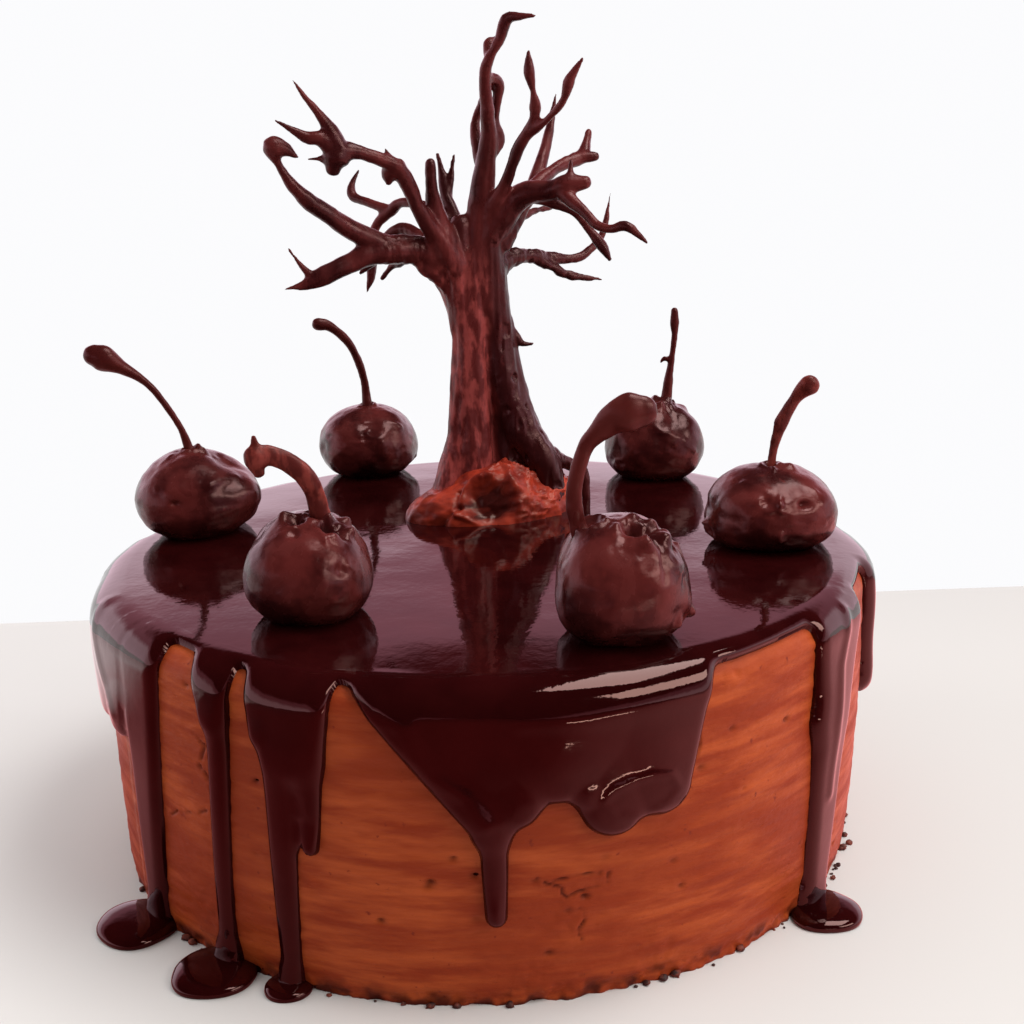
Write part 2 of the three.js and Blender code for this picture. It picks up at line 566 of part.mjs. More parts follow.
const CREAM = { color: 0x9a4228, roughness: 0.75, metalness: 0 };
const GANACHE = { color: 0x2c0c10, roughness: 0.12, metalness: 0 };
const CHOCOLATE = { color: 0x4a1e20, roughness: 0.42, metalness: 0 };
const STEM_CHOCOLATE = { color: 0x6b2c24, roughness: 0.4, metalness: 0 };

const cake = new THREE.Group();

function addPiece(name, geometry, finish) {
  const mesh = new THREE.Mesh(geometry, new THREE.MeshStandardMaterial(finish));
  mesh.name = name;
  cake.add(mesh);
}

addPiece('cake', toGeometry(toSolid(turned(cakeProfile(0, 0), CAKE_SIDES))), CREAM);
addPiece('ganache', toGeometry(glazeSolid()), GANACHE);
addPiece('tree', toGeometry(treeSolid()), CHOCOLATE);
addPiece('mound', toGeometry(moundSolid()), CREAM);
Object.entries(CHERRIES).forEach(([place, cherry]) => {
  const { rows, flat } = STEMS[place];
  const stem = limb(rows, 0, flat);
  const body = cherrySolid(cherry, rows[0]).subtract(limb(rows, GAP, 1));
  addPiece(`cherry_${place}`, toGeometry(body), CHOCOLATE);
  addPiece(`stem_${place}`, toGeometry(stem), STEM_CHOCOLATE);
});

export default cake;
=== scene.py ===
"""A whole black forest cake: buttercream under poured ganache, dipped cherries and a chocolate tree.

Lengths are in millimetres until a mesh is made, with +Z up, the cake's middle at the origin and
its front towards -Y. A bearing is an angle round the cake in degrees from the front, growing
towards +X. A place on the cake's skin is a bearing and a height: the height runs up the side, on
over the rounded rim and then in along the top.
"""

import math
from itertools import product

import bmesh
import bpy
import numpy as np
from mathutils import Matrix, Vector
from mathutils.geometry import delaunay_2d_cdt


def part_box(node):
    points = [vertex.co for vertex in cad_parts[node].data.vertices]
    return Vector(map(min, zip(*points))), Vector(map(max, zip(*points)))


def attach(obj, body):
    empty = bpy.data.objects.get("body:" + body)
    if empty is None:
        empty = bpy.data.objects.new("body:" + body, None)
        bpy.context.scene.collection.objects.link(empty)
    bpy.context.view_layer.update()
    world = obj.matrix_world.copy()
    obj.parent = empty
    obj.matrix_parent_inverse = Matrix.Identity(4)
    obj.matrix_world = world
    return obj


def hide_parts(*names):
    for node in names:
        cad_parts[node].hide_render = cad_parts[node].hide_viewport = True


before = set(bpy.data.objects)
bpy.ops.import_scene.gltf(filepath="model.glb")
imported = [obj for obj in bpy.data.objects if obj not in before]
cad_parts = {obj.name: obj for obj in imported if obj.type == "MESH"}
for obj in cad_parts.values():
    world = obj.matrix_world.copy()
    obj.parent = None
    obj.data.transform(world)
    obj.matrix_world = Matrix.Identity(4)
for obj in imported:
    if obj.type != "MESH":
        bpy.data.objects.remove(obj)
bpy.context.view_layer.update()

MM = 0.001


def node_top(name):
    """Height of the top of a node, in millimetres."""
    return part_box(name)[1].z / MM


def node_foot(name):
    """Height of the bottom of a node, in millimetres."""
    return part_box(name)[0].z / MM


# ---------------------------------------------------------------- sizes

CAKE_TOP = node_top("cake")
FOOT_RADIUS = 97.2
BARREL = 1.7  # how much wider the side is from half its height up
BARREL_HEIGHT = 45
LEAN = 0.8  # the side stands out more on the right
RIM = 6.5  # rounding of the top edge
SIDE_TOP = CAKE_TOP - RIM
SKIN_TOP = SIDE_TOP + RIM * math.pi / 2
SKIN_RADIUS = 98.6  # of the side, for turning bearings into lengths on the unrolled side
MM_PER_DEGREE = math.radians(SKIN_RADIUS)
CHERRY_LIFT = 0.3  # how far the solid of a cherry stands clear of the ganache
GLAZE_TOP = node_foot("cherry_left") - CHERRY_LIFT
GLAZE = GLAZE_TOP - CAKE_TOP

# The ganache's edge on the side.
RIM_LINE = 74.8  # height of the edge where nothing runs down
RIM_SLOPE = 2  # lower by this on the right, higher on the left
RIM_WAVE = 0.35
RIM_WAVES = [(7, 40), (11, -25)]  # how many go round the cake, and where they start, in degrees
FLOW_BLEND = 3.3  # how softly two runs melt together
EDGE_ROUND = 3.0  # width of the rounded edge
SUNK = 0.6  # how deep its underside is pressed into the buttercream

# Runs of ganache: bearing, height and half width at the top, then at the lower end.
FRONT_RUNS = [
    (-76, 76, 24, -69, 60, 14),  # broad lobe on the left flank
    (-62, 76, 10, -61.5, 53, 7.5),
    (-94, 78, 14, -92, 62, 8),  # behind the lobe
    (-53, 72, 8.5, -55.2, 2, 4.2),
    (-38.6, 76, 5.6, -37.2, 63, 3),  # this and the next round off the tops of the gaps
    (-30, 76, 3.6, -29, 62, 3),
    (-36.1, 72, 3.3, -38.4, 2, 2.6),
    (-24.6, 74, 8.5, -25, 58.5, 7),  # web between the next two
    (-26.5, 74, 5, -27.6, 2, 2.5),
    (-22, 72, 4.2, -22.9, 37, 1.9),
    (-5.6, 78, 19.5, 0, 44, 4.6),  # left half of the curtain
    (0.4, 46, 3.4, 0.4, 23, 2.5),
    (6, 76, 12, 8.3, 56.8, 8),
    (2.5, 56, 5, 3.4, 47.5, 3.6),
    (4.6, 58, 4, 4.6, 49.5, 3.2),
    (11.8, 58, 4, 11.8, 50.3, 3.2),
    (17, 76, 22, 15.3, 47, 7.4),
    (22, 76, 13.5, 21.5, 50, 7.6),  # right half of the curtain
    (57.5, 76, 14, 53.6, 50, 8),
    (53.6, 50, 7.6, 52.3, 3, 5.4),
    (85, 76, 13, 80, 43, 5.5),
]

# Runs on the back, drawn by rule between two bearings. Most hang, and a few reach the ground.
BACK_RUNS = {
    "count": 9, "from": 103, "to": 262, "jitter": 6, "seed": 11, "top": 73, "lean": 2,
    "top_width": (4, 10), "end_width": (2.3, 3.9), "end": (22, 56), "low": (2, 6), "ground": 2,
}

HANGS_ABOVE = 10  # height of its lower end from which a run hangs free

# Pools at the foot of the long runs: bearing, distance from the axis, radius, height.
FRONT_POOLS = [
    (-56, 103.5, 10.3, 3),
    (-38.6, 102.5, 10, 3),
    (-28, 98.8, 5.4, 2.4),
    (50.6, 102.8, 9, 3),
]
BACK_POOL = (101.5, 8, 2.8)  # the same without the bearing


# ---------------------------------------------------------------- noise and meshes

def random_stream(seed):
    """A repeatable stream of numbers from 0 to 1."""
    state = seed * 9781 + 1
    while True:
        state = state * 16807 % 2147483647
        yield state / 2147483647


def lattice(cells, seed):
    """A repeatable number from 0 to 1 for each whole-number cell."""
    mixed = cells @ np.array([374761393, 668265263, 1440662683], dtype=np.int64)
    mixed = mixed + seed * 1013904223
    mixed = (mixed ^ (mixed >> 13)) * 1274126177
    return ((mixed ^ (mixed >> 16)) & 0xFFFF) / 0xFFFF


def noise(points, size, seed=0):
    """Smooth noise from -1 to 1 whose lumps are about size across."""
    place = points / size
    cells = np.floor(place).astype(np.int64)
    part = place - cells
    part = part * part * (3 - 2 * part)
    total = np.zeros(len(points))
    for corner in product((0, 1), repeat=3):
        shares = np.where(corner, part, 1 - part).prod(axis=1)
        total += shares * lattice(cells + np.array(corner), seed)
    return 2 * total - 1


def rough(points, size, octaves, seed=0):
    """Noise in octaves, each half the size and half the height of the one before."""
    sizes = np.asarray(size, dtype=float)
    return sum(noise(points, sizes / 2**k, seed + k) / 2**k for k in range(octaves))


def smooth_step(low, high, value):
    """0 up to low and 1 from high on, with a soft rise between them. low may be the larger."""
    share = np.clip((value - low) / (high - low), 0, 1)
    return share * share * (3 - 2 * share)


def grid_faces(rows, columns, closed=False):
    """Quads of a grid whose points run along each row. closed joins its last column to the first."""
    index = np.arange(rows * columns).reshape(rows, columns)
    if closed:
        index = np.hstack([index, index[:, :1]])
    corners = (index[:-1, :-1], index[:-1, 1:], index[1:, 1:], index[1:, :-1])
    return np.stack(corners, axis=-1).reshape(-1, 4).tolist()


def end_faces(rows, columns):
    """The two faces that close the first and the last row of a closed grid."""
    last = rows * columns
    return [list(range(columns))[::-1], list(range(last - columns, last))]


class Shell:
    """Points and faces that are gathered part by part."""

    def __init__(self):
        self.points = []
        self.faces = []
        self.count = 0

    def add(self, points, faces):
        self.points.append(np.asarray(points, dtype=float))
        self.faces.extend([[i + self.count for i in face] for face in faces])
        self.count += len(points)

    def mesh(self, name):
        mesh = bpy.data.meshes.new(name)
        mesh.from_pydata((np.concatenate(self.points) * MM).tolist(), [], self.faces)
        mesh.shade_smooth()
        return mesh


def add_piece(name, mesh, material, replaced=()):
    """Shows a mesh as a piece of the cake, in place of some nodes."""
    piece = bpy.data.objects.new(name, mesh)
    bpy.context.scene.collection.objects.link(piece)
    mesh.materials.clear()
    mesh.materials.append(material)
    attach(piece, "root")
    if replaced:
        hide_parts(*replaced)


def add_attribute(mesh, name, values):
    """Numbers on the points, for a material to read."""
    mesh.attributes.new(name, "FLOAT", "POINT").data.foreach_set("value", values)


def mesh_points(mesh):
    """The mesh's points, in millimetres."""
    flat = np.empty(len(mesh.vertices) * 3)
    mesh.vertices.foreach_get("co", flat)
    return flat.reshape(-1, 3) / MM


def mesh_normals(mesh):
    flat = np.empty(len(mesh.vertices) * 3)
    mesh.vertex_normals.foreach_get("vector", flat)
    return flat.reshape(-1, 3)


def set_points(mesh, points):
    mesh.vertices.foreach_set("co", (points * MM).ravel())
    mesh.update()


def relax(mesh, steps, strength=0.5):
    """Moves every point towards the middle of its neighbours, a few times."""
    ends = np.empty(len(mesh.edges) * 2, dtype=np.int64)
    mesh.edges.foreach_get("vertices", ends)
    a, b = ends.reshape(-1, 2).T
    points = mesh_points(mesh)
    count = np.bincount(a, minlength=len(points)) + np.bincount(b, minlength=len(points))
    for _ in range(steps):
        total = np.zeros_like(points)
        for axis in range(3):
            total[:, axis] += np.bincount(a, points[b, axis], len(points))
            total[:, axis] += np.bincount(b, points[a, axis], len(points))
        points += strength * (total / count[:, None] - points)
    set_points(mesh, points)


def fused(mesh, voxel):
    """One skin round everything in the mesh, with points about voxel apart."""
    holder = bpy.data.objects.new("holder", mesh)
    bpy.context.scene.collection.objects.link(holder)
    remesh = holder.modifiers.new("fuse", "REMESH")
    remesh.mode = "VOXEL"
    remesh.voxel_size = voxel * MM
    remesh.use_smooth_shade = True
    ready = holder.evaluated_get(bpy.context.evaluated_depsgraph_get())
    skin = bpy.data.meshes.new_from_object(ready)
    bpy.data.objects.remove(holder)
    bpy.data.meshes.remove(mesh)
    return skin


# ---------------------------------------------------------------- the cake's skin

def side_radius(bearing, height):
    """Distance of the plain side from the cake's axis."""
    share = np.clip(height / BARREL_HEIGHT, 0, 1)
    lean = LEAN * share * np.sin(np.radians(bearing))
    return FOOT_RADIUS + BARREL * (1 - (1 - share) ** 2) + lean


def on_skin(bearing, height, out):
    """Points at a bearing and height on the skin, moved outwards."""
    angle = np.radians(bearing)
    bend = np.clip((height - SIDE_TOP) / RIM, 0, math.pi / 2)
    past_rim = np.maximum(height - SKIN_TOP, 0)
    radius = side_radius(bearing, height) - RIM - past_rim + (RIM + out) * np.cos(bend)
    up = np.where(height < SIDE_TOP, height, SIDE_TOP + (RIM + out) * np.sin(bend))
    return np.stack([np.sin(angle) * radius, -np.cos(angle) * radius, up], axis=-1)


def turn_between(a, b):
    """The bearing a as seen from b, from -180 to 180."""
    return (a - b + 180) % 360 - 180


# ---------------------------------------------------------------- ganache

def back_runs():
    """The runs that hang down the back."""
    rule = BACK_RUNS
    draw = random_stream(rule["seed"])

    def between(limits):
        return limits[0] + (limits[1] - limits[0]) * next(draw)

    spacing = (rule["to"] - rule["from"]) / (rule["count"] - 1)
    runs = []
    for index in range(rule["count"]):
        bearing = rule["from"] + index * spacing + (next(draw) - 0.5) * rule["jitter"]
        end_width = between(rule["end_width"])
        end = rule["ground"] if index in rule["low"] else between(rule["end"])
        end_bearing = bearing + (next(draw) - 0.5) * rule["lean"]
        runs.append((bearing, rule["top"], between(rule["top_width"]), end_bearing, end, end_width))
    return runs


RUNS = FRONT_RUNS + back_runs()
HANGING = [run for run in RUNS if run[4] > HANGS_ABOVE]
POOLS = FRONT_POOLS + [
    (RUNS[len(FRONT_RUNS) + index][3], *BACK_POOL) for index in BACK_RUNS["low"]
]
FOOT_FLARE = {"low": 0.32, "wide": 0.62, "from": 4.5, "to": -3}  # of a run where it meets its pool


def flared_feet():
    """Short stubs that widen the long runs where they meet their pools."""
    flare = FOOT_FLARE
    return [
        (bearing, flare["from"], radius * flare["low"], bearing, flare["to"], radius * flare["wide"])
        for bearing, _, radius, _ in POOLS
    ]


FLOWS = RUNS + flared_feet()


def soft_min(a, b, reach):
    """The smaller of two numbers, with a fillet where they are within reach of each other."""
    share = np.maximum(reach - np.abs(a - b), 0) / reach
    return np.minimum(a, b) - share * share * reach / 4


def outside_run(run, bearing, height):
    """How far a place on the unrolled side lies outside one run, rounded over its middle line."""
    top_bearing, top, top_width, end_bearing, end, end_width = run
    x = turn_between(bearing, top_bearing) * MM_PER_DEGREE
    end_x = turn_between(end_bearing, top_bearing) * MM_PER_DEGREE
    fall = end - top
    share = np.clip((x * end_x + (height - top) * fall) / (end_x**2 + fall**2), 0, 1)
    away = np.hypot(x - share * end_x, height - top - share * fall)
    width = top_width + (end_width - top_width) * share
    soft = 0.5 * np.minimum(width, EDGE_ROUND)
    return np.sqrt(away**2 + soft**2) - np.sqrt(width**2 + soft**2)


def outside_glaze(bearing, height):
    """Negative inside the ganache, positive on bare buttercream."""
    wave = sum(np.sin(np.radians(bearing * count + start)) for count, start in RIM_WAVES)
    rim = RIM_LINE - RIM_SLOPE * np.sin(np.radians(bearing)) + RIM_WAVE * wave - height
    for run in FLOWS:
        rim = soft_min(rim, outside_run(run, bearing, height), FLOW_BLEND)
    return rim


def spot(bearing, height, spot_bearing, spot_height, reach):
    """A soft bump on the side round one place."""
    across = turn_between(bearing, spot_bearing) * MM_PER_DEGREE
    return np.exp(-(across**2 + (height - spot_height) ** 2) / reach**2)


def distance_to_line(x, y, corners):
    """Distance on the unrolled side to a bent line."""
    best = np.full(x.shape, 1e9)
    for (bearing_a, ya), (bearing_b, yb) in zip(corners, corners[1:]):
        xa, xb = bearing_a * MM_PER_DEGREE, bearing_b * MM_PER_DEGREE
        run, rise = xb - xa, yb - ya
        share = np.clip(((x - xa) * run + (y - ya) * rise) / (run**2 + rise**2), 0, 1)
        best = np.minimum(best, np.hypot(x - xa - share * run, y - ya - share * rise))
    return best


# A run is thicker where it hangs, over a share of its half width and some more.
BEAD = {"extra": 1.1, "share": 1.15, "more": 1.5}
SWELLS = [  # bearing, height, extra thickness, reach
    (84, 62, 1.9, 14),  # thick fold on the right flank
    (-74, 66, 0.6, 14),
]
FOOT_SWELL = {"extra": 2.4, "reach": 3.2}  # thicker low down, where a run stands in its pool
FOLDS = [  # height, half width, bearing and height of the corners of each raised line
    (0.6, 1.9, [(-16.2, 74), (-12.5, 71), (-9.6, 67), (-8.2, 61), (-6, 56), (-2.6, 52), (-0.5, 46)]),
    (0.3, 1.0, [(13.3, 49.1), (14.9, 51.6), (17.1, 52.6), (19.7, 53.3), (22.2, 52.6), (23.4, 49.1),
                (21.8, 46.3), (19.7, 44.9), (17.3, 44.6), (15.1, 45.1), (13.3, 49.1)]),
    (0.3, 2.4, [(4, 68.4), (12, 67.8), (22, 68.3), (29, 68)]),
    (0.5, 1.6, [(58, 72), (54.5, 62), (53, 48), (52.6, 30)]),
    (0.45, 2.0, [(-70, 74), (-66, 62), (-61, 52)]),
]


def glaze_depth(bearing, height):
    """Thickness of the ganache, rounded off towards its edge."""
    inside = np.clip(-outside_glaze(bearing, height) / EDGE_ROUND, 0, 1)
    bead = np.zeros_like(bearing)
    for run in HANGING:
        reach = BEAD["share"] * run[5] + BEAD["more"]
        bead = np.maximum(bead, BEAD["extra"] * spot(bearing, height, run[3], run[4], reach))
    full = GLAZE + bead
    for place in SWELLS:
        full = full + place[2] * spot(bearing, height, place[0], place[1], place[3])
    for height_extra, reach, corners in FOLDS:
        away = distance_to_line(bearing * MM_PER_DEGREE, height, corners)
        full = full + height_extra * np.exp(-((away / reach) ** 2))
    for pool in POOLS:
        near = np.exp(-((turn_between(bearing, pool[0]) * MM_PER_DEGREE / pool[2]) ** 2))
        full = full + FOOT_SWELL["extra"] * near * np.exp(-height / FOOT_SWELL["reach"])
    return full * np.sqrt(1 - (1 - inside) ** 2)


SEAM = 172.5  # bearing where the unrolled sheet is cut, clear of any run
GRID_CELL = 0.4  # of the field on the unrolled side
EDGE_STEP = 0.7  # spacing of the points along the edge
FIELD_BELOW = 16  # how far the field goes on below the sheet
FIELD_ABOVE = 3
SHORTEST_LINE = 8  # points; a line of the field with no more is left out
LOWEST = -0.5  # where the sheet is cut off, just under the ground
RING_SHARES = (0, 0.03, 0.12, 0.28, 0.5, 0.75, 1)  # of the rounded edge, from its foot in
FILL = 1.6  # spacing of the points inside
FINE_HALF = 62  # the front is meshed finely this far to each side, in degrees
FINE_FILL = 0.85
ROW_SHARE = 0.87  # distance between rows of those points, over their spacing
ROWS_FROM = LOWEST + 0.8
ROWS_TO = SKIN_TOP - 0.6
CLEAR_OF_EDGE = 0.5  # how far they keep inside the rounded edge
CLEAR_OF_SEAM = 0.3
CLEAR_OF_FOOT = 0.2
ON_EDGE = -0.02  # of the field, from where a point counts as on the edge
JOINED = 1e-4  # points closer than this are one
TOP_COLUMNS = 400
TOP_RINGS = 46
SMALLEST_RING = 0.02  # share of the way out


class Unrolled:
    """The ganache's field on the unrolled side, sampled on a fine grid from seam to seam."""

    def __init__(self):
        self.low, self.high = (SEAM - 360) * MM_PER_DEGREE, SEAM * MM_PER_DEGREE
        self.across = np.linspace(self.low, self.high, round((self.high - self.low) / GRID_CELL) + 1)
        self.up = np.arange(LOWEST - FIELD_BELOW, SKIN_TOP + FIELD_ABOVE, GRID_CELL)
        bearing, height = np.meshgrid(self.across / MM_PER_DEGREE, self.up, indexing="ij")
        self.field = outside_glaze(bearing, height)

    def crossing(self, ends, level):
        """The point between two grid corners where the field has that level."""
        (i, j), (k, m) = sorted(ends)
        share = (level - self.field[i, j]) / (self.field[k, m] - self.field[i, j])
        x = self.across[i] + share * (self.across[k] - self.across[i])
        return x, self.up[j] + share * (self.up[m] - self.up[j])

    def neighbours(self, level):
        """For each crossed grid edge, the crossed edges it shares a cell with."""
        below = self.field < level
        corners = below[:-1, :-1].astype(int) + below[1:, :-1] + below[:-1, 1:] + below[1:, 1:]
        joined = {}
        for i, j in np.argwhere((corners > 0) & (corners < 4)).tolist():
            ring = [(i, j), (i + 1, j), (i + 1, j + 1), (i, j + 1)]
            edges = [frozenset(pair) for pair in zip(ring, ring[1:] + ring[:1])]
            states = [below[corner] for corner in ring]
            crossed = [edge for edge, a, b in zip(edges, states, states[1:] + states[:1]) if a != b]
            for a, b in zip(crossed[::2], crossed[1::2]):
                joined.setdefault(a, []).append(b)
                joined.setdefault(b, []).append(a)
        return joined

    def lines(self, level, step):
        """The lines along which the field has that level, in even steps."""
        joined = self.neighbours(level)
        starts = sorted(joined, key=lambda edge: (len(joined[edge]), sorted(edge)))
        lines, seen = [], set()
        for start in starts:
            chain, here = [], start
            while here is not None:
                seen.add(here)
                chain.append(self.crossing(here, level))
                here = next((edge for edge in joined[here] if edge not in seen), None)
            if len(chain) > SHORTEST_LINE:
                lines.append(even_steps(np.array(chain), step))
        return lines


def even_steps(chain, step):
    """The same line with its points a step apart."""
    gone = np.append(0, np.cumsum(np.linalg.norm(np.diff(chain, axis=0), axis=1)))
    at = np.linspace(0, gone[-1], max(2, round(gone[-1] / step)))
    return np.stack([np.interp(at, gone, chain[:, axis]) for axis in (0, 1)], axis=-1)


def spread(low, high, spacing):
    """Points in staggered rows over part of the unrolled side."""
    points = []
    for number, y in enumerate(np.arange(ROWS_FROM, ROWS_TO, spacing * ROW_SHARE)):
        start = low + spacing * (0.5 + 0.5 * (number % 2))
        points += [(x, y) for x in np.arange(start, high, spacing)]
    return np.array(points)


def sheet_points(unrolled):
    """Outline and inner points of the poured sheet down to its edge, on the unrolled side."""
    low, high = unrolled.low, unrolled.high
    edge = max(unrolled.lines(0, EDGE_STEP), key=len)
    edge = edge if edge[0, 0] < edge[-1, 0] else edge[::-1]
    edge[:, 1] = np.maximum(edge[:, 1], LOWEST)
    edge[-1, 1] = edge[0, 1]
    seam = np.arange(SKIN_TOP - FILL, edge[0, 1] + 0.4, -FILL)
    top = np.linspace(high, low, TOP_COLUMNS + 1)
    outline = edge.tolist() + [(high, y) for y in seam[::-1]]
    outline += [(x, SKIN_TOP) for x in top] + [(low, y) for y in seam]
    inner = []
    for share in RING_SHARES[1:]:
        inner += unrolled.lines(-share * EDGE_ROUND, EDGE_STEP)
    front = FINE_HALF * MM_PER_DEGREE
    parts = [(low, -front, FILL), (-front, front, FINE_FILL), (front, high, FILL)]
    rows = np.concatenate([spread(*part) for part in parts])
    deep = outside_glaze(rows[:, 0] / MM_PER_DEGREE, rows[:, 1]) < -EDGE_ROUND - CLEAR_OF_EDGE
    inner = np.concatenate(inner + [rows[deep]])
    x, y = inner.T
    clear = (x > low + CLEAR_OF_SEAM) & (x < high - CLEAR_OF_SEAM) & (y > LOWEST + CLEAR_OF_FOOT)
    return outline, inner[clear].tolist()


SAG = 0.55  # how much lower the ganache lies at the rim than in the middle
SAG_FROM = 0.72  # share of the way out where it starts to
RIPPLES = [(0.16, 34, 3), (0.05, 11, 4)]  # height, size and seed of the unevenness on top
EVENS_OUT = 3  # from how far up the rounded rim the sheet passes into the level one on top


def ripple(points):
    """Unevenness of the ganache on top, and how it sinks towards the rim."""
    out = np.hypot(points[:, 0], points[:, 1]) / (FOOT_RADIUS + BARREL - RIM)
    sunk = SAG * np.clip((out - SAG_FROM) / (1 - SAG_FROM), 0, 1) ** 2
    return sum(height * noise(points, size, seed) for height, size, seed in RIPPLES) - sunk


def glaze_sheet(shell):
    """The sheet over the top and down the side, closed by its underside in the buttercream."""
    outline, inner = sheet_points(Unrolled())
    flat = [Vector(p) for p in outline + inner]
    loop = list(range(len(outline)))
    places, _, faces, *_ = delaunay_2d_cdt(flat, [], [loop], 1, JOINED, False)
    places = np.array([tuple(p) for p in places])
    bearing, height = places[:, 0] / MM_PER_DEGREE, places[:, 1]
    on_edge = outside_glaze(bearing, height) > ON_EDGE
    depth = np.where(on_edge, -SUNK, glaze_depth(bearing, height))
    over = smooth_step(SIDE_TOP + EVENS_OUT, SKIN_TOP, height)
    depth = depth * (1 - over) + np.where(on_edge, -SUNK, GLAZE) * over
    height = np.maximum(height, 0)
    outside = on_skin(bearing, height, depth)
    outside[:, 2] += ripple(outside) * over
    shell.add(outside, faces)
    shell.add(on_skin(bearing, height, np.full(len(bearing), -SUNK)), [face[::-1] for face in faces])
    top_sheet(shell)


def top_sheet(shell):
    """The level part on top, in rings that close up towards the middle."""
    bearing = np.linspace(SEAM, SEAM - 360, TOP_COLUMNS + 1)[:-1]
    shares = np.linspace(1, SMALLEST_RING, TOP_RINGS)
    start = on_skin(bearing, np.full(len(bearing), SKIN_TOP), np.full(len(bearing), GLAZE))
    rings = []
    for share in shares:
        ring = start.copy()
        ring[:, :2] *= share
        ring[:, 2] += ripple(ring)
        rings.append(ring)
    points = np.concatenate(rings + [np.array([[0, 0, GLAZE_TOP]])])
    last = len(points) - 1
    inmost = last - TOP_COLUMNS
    sides = [(i, (i + 1) % TOP_COLUMNS) for i in range(TOP_COLUMNS)]
    faces = grid_faces(TOP_RINGS, TOP_COLUMNS, closed=True)
    faces += [[inmost + a, inmost + b, last] for a, b in sides]
    shell.add(points, faces)
    under = np.concatenate([start, [[0, 0, CAKE_TOP - SUNK]]])
    under[:, 2] = CAKE_TOP - SUNK
    shell.add(under, [[b, a, TOP_COLUMNS] for a, b in sides])


POOL_COLUMNS = 72
POOL_ROWS = 22
POOL_TUCK = 0.35  # how far its edge turns in under the widest place, as an angle
POOL_WIDEST = 0.3  # share of its height at which that place lies
POOL_FLAT = 0.55  # lower for a flatter middle
POOL_UNEVEN = 0.09  # share of the radius


def glaze_pool(shell, pool, seed):
    """A pool on the ground: a low rounded blob with an uneven outline."""
    bearing, distance, radius, height = pool
    turn = np.linspace(0, 2 * math.pi, POOL_COLUMNS, endpoint=False)
    around = np.stack([np.cos(turn), np.sin(turn), np.zeros_like(turn)], axis=-1)
    reach = radius * (1 + POOL_UNEVEN * noise(around, 0.9, seed))
    angle = math.radians(bearing)
    middle = np.array([math.sin(angle) * distance, -math.cos(angle) * distance, 0])
    rings = []
    for tilt in np.linspace(-POOL_TUCK, math.pi / 2, POOL_ROWS):
        ring = around * (reach * math.cos(tilt) ** POOL_FLAT)[:, None] + middle
        if tilt > 0:
            ring[:, 2] = height * (POOL_WIDEST + (1 - POOL_WIDEST) * math.sin(tilt))
        else:
            ring[:, 2] = height * POOL_WIDEST * (1 + tilt / POOL_TUCK)
        rings.append(ring)
    points = np.concatenate(rings)
    shell.add(points, grid_faces(POOL_ROWS, POOL_COLUMNS, closed=True))
    shell.add(rings[0], [list(range(POOL_COLUMNS))[::-1]])


def make_ganache(material):
    """The whole poured ganache, with the pools at the foot of its long runs."""
    shell = Shell()
    glaze_sheet(shell)
    for number, pool in enumerate(POOLS):
        glaze_pool(shell, pool, number)
    mesh = shell.mesh("ganache_poured")
    weld(mesh)
    add_piece("ganache_poured", mesh, material, ["ganache"])


WELD = 2e-6  # metres


def weld(mesh):
    """Joins points that lie in one place and turns all faces outwards."""
    work = bmesh.new()
    work.from_mesh(mesh)
    bmesh.ops.remove_doubles(work, verts=work.verts, dist=WELD)
    bmesh.ops.recalc_face_normals(work, faces=work.faces)
    work.to_mesh(mesh)
    work.free()
    mesh.shade_smooth()


# ---------------------------------------------------------------- buttercream

FINE_STEP = 0.31  # spacing of the columns on the front, in degrees
COARSE_STEP = 1.25
ROW_STEP = 0.52
FOOT_REACH = 0.4  # how far the relief may stand out on the ground

# Hair cracks: bearing and height of their corners.
CRACKS = [
    [(-41.4, 57.3), (-39.5, 54.6), (-40.8, 49.8), (-39.6, 47.2), (-38.3, 43.7), (-37.4, 40.9), (-37.9, 36.5)],
    [(-48.5, 33.2), (-46.8, 35.2), (-43.5, 36.6), (-40.2, 38.6)],
    [(5.4, 31.2), (7, 29.6), (8.5, 28.3), (9.2, 25.8), (10.4, 26.9), (12.3, 27.4), (14.5, 27.7), (14.4, 30)],
    [(7.6, 30.4), (10.4, 30.8), (13.6, 31)],
    [(9.4, 25), (11.4, 22.5), (11.7, 20), (10.6, 17.5), (11.5, 15)],
    [(-24.8, 32.7), (-24.2, 30.7), (-24.5, 28.6)],
    [(26.3, 66.8), (26.8, 57.3), (27.3, 54.3)],
]
CRACK_WIDTH = 0.32
CRACK_DEPTH = 0.8
CRACK_LIP = {"height": 0.16, "reach": 1.6}  # the buttercream is raised a little along a crack
# How dark a crack is painted, as painted shade in its groove.
CRACK_SHADE = 0.7
ROUGH_PATCHES = [  # bearing, height, reach of crumbly places
    (10, 21, 7), (-24, 27, 3.5), (33, 70, 4), (5, 6, 6), (-42, 12, 6), (21, 8, 7), (-44, 76, 3),
]
CRUMBLY = {"size": 2.6, "patches": 0.28, "foot": 0.6}  # its lumps, and their height in the two places
BASE_BAND = {"height": 5.5, "sunk": 0.4, "darkening": 0.9}  # the ragged foot, darker in colour

# Pits: bearing, height, reach and depth. More are drawn by rule.
KNOWN_PITS = [
    (-7.7, 31, 0.7, 1.4), (-30.9, 49.9, 0.5, 1.0), (-14.3, 21.1, 0.6, 0.9), (11.6, 25.6, 0.6, 1.2),
]
PITS = {"count": 60, "seed": 5, "from": 3, "over": 66, "reach": (0.35, 0.8), "depth": (0.3, 0.9)}
PIT_LENGTH = 1.6  # round the cake, over its height
# How dark a pit is painted, as painted shade in its hollow.
PIT_SHADE = 0.75


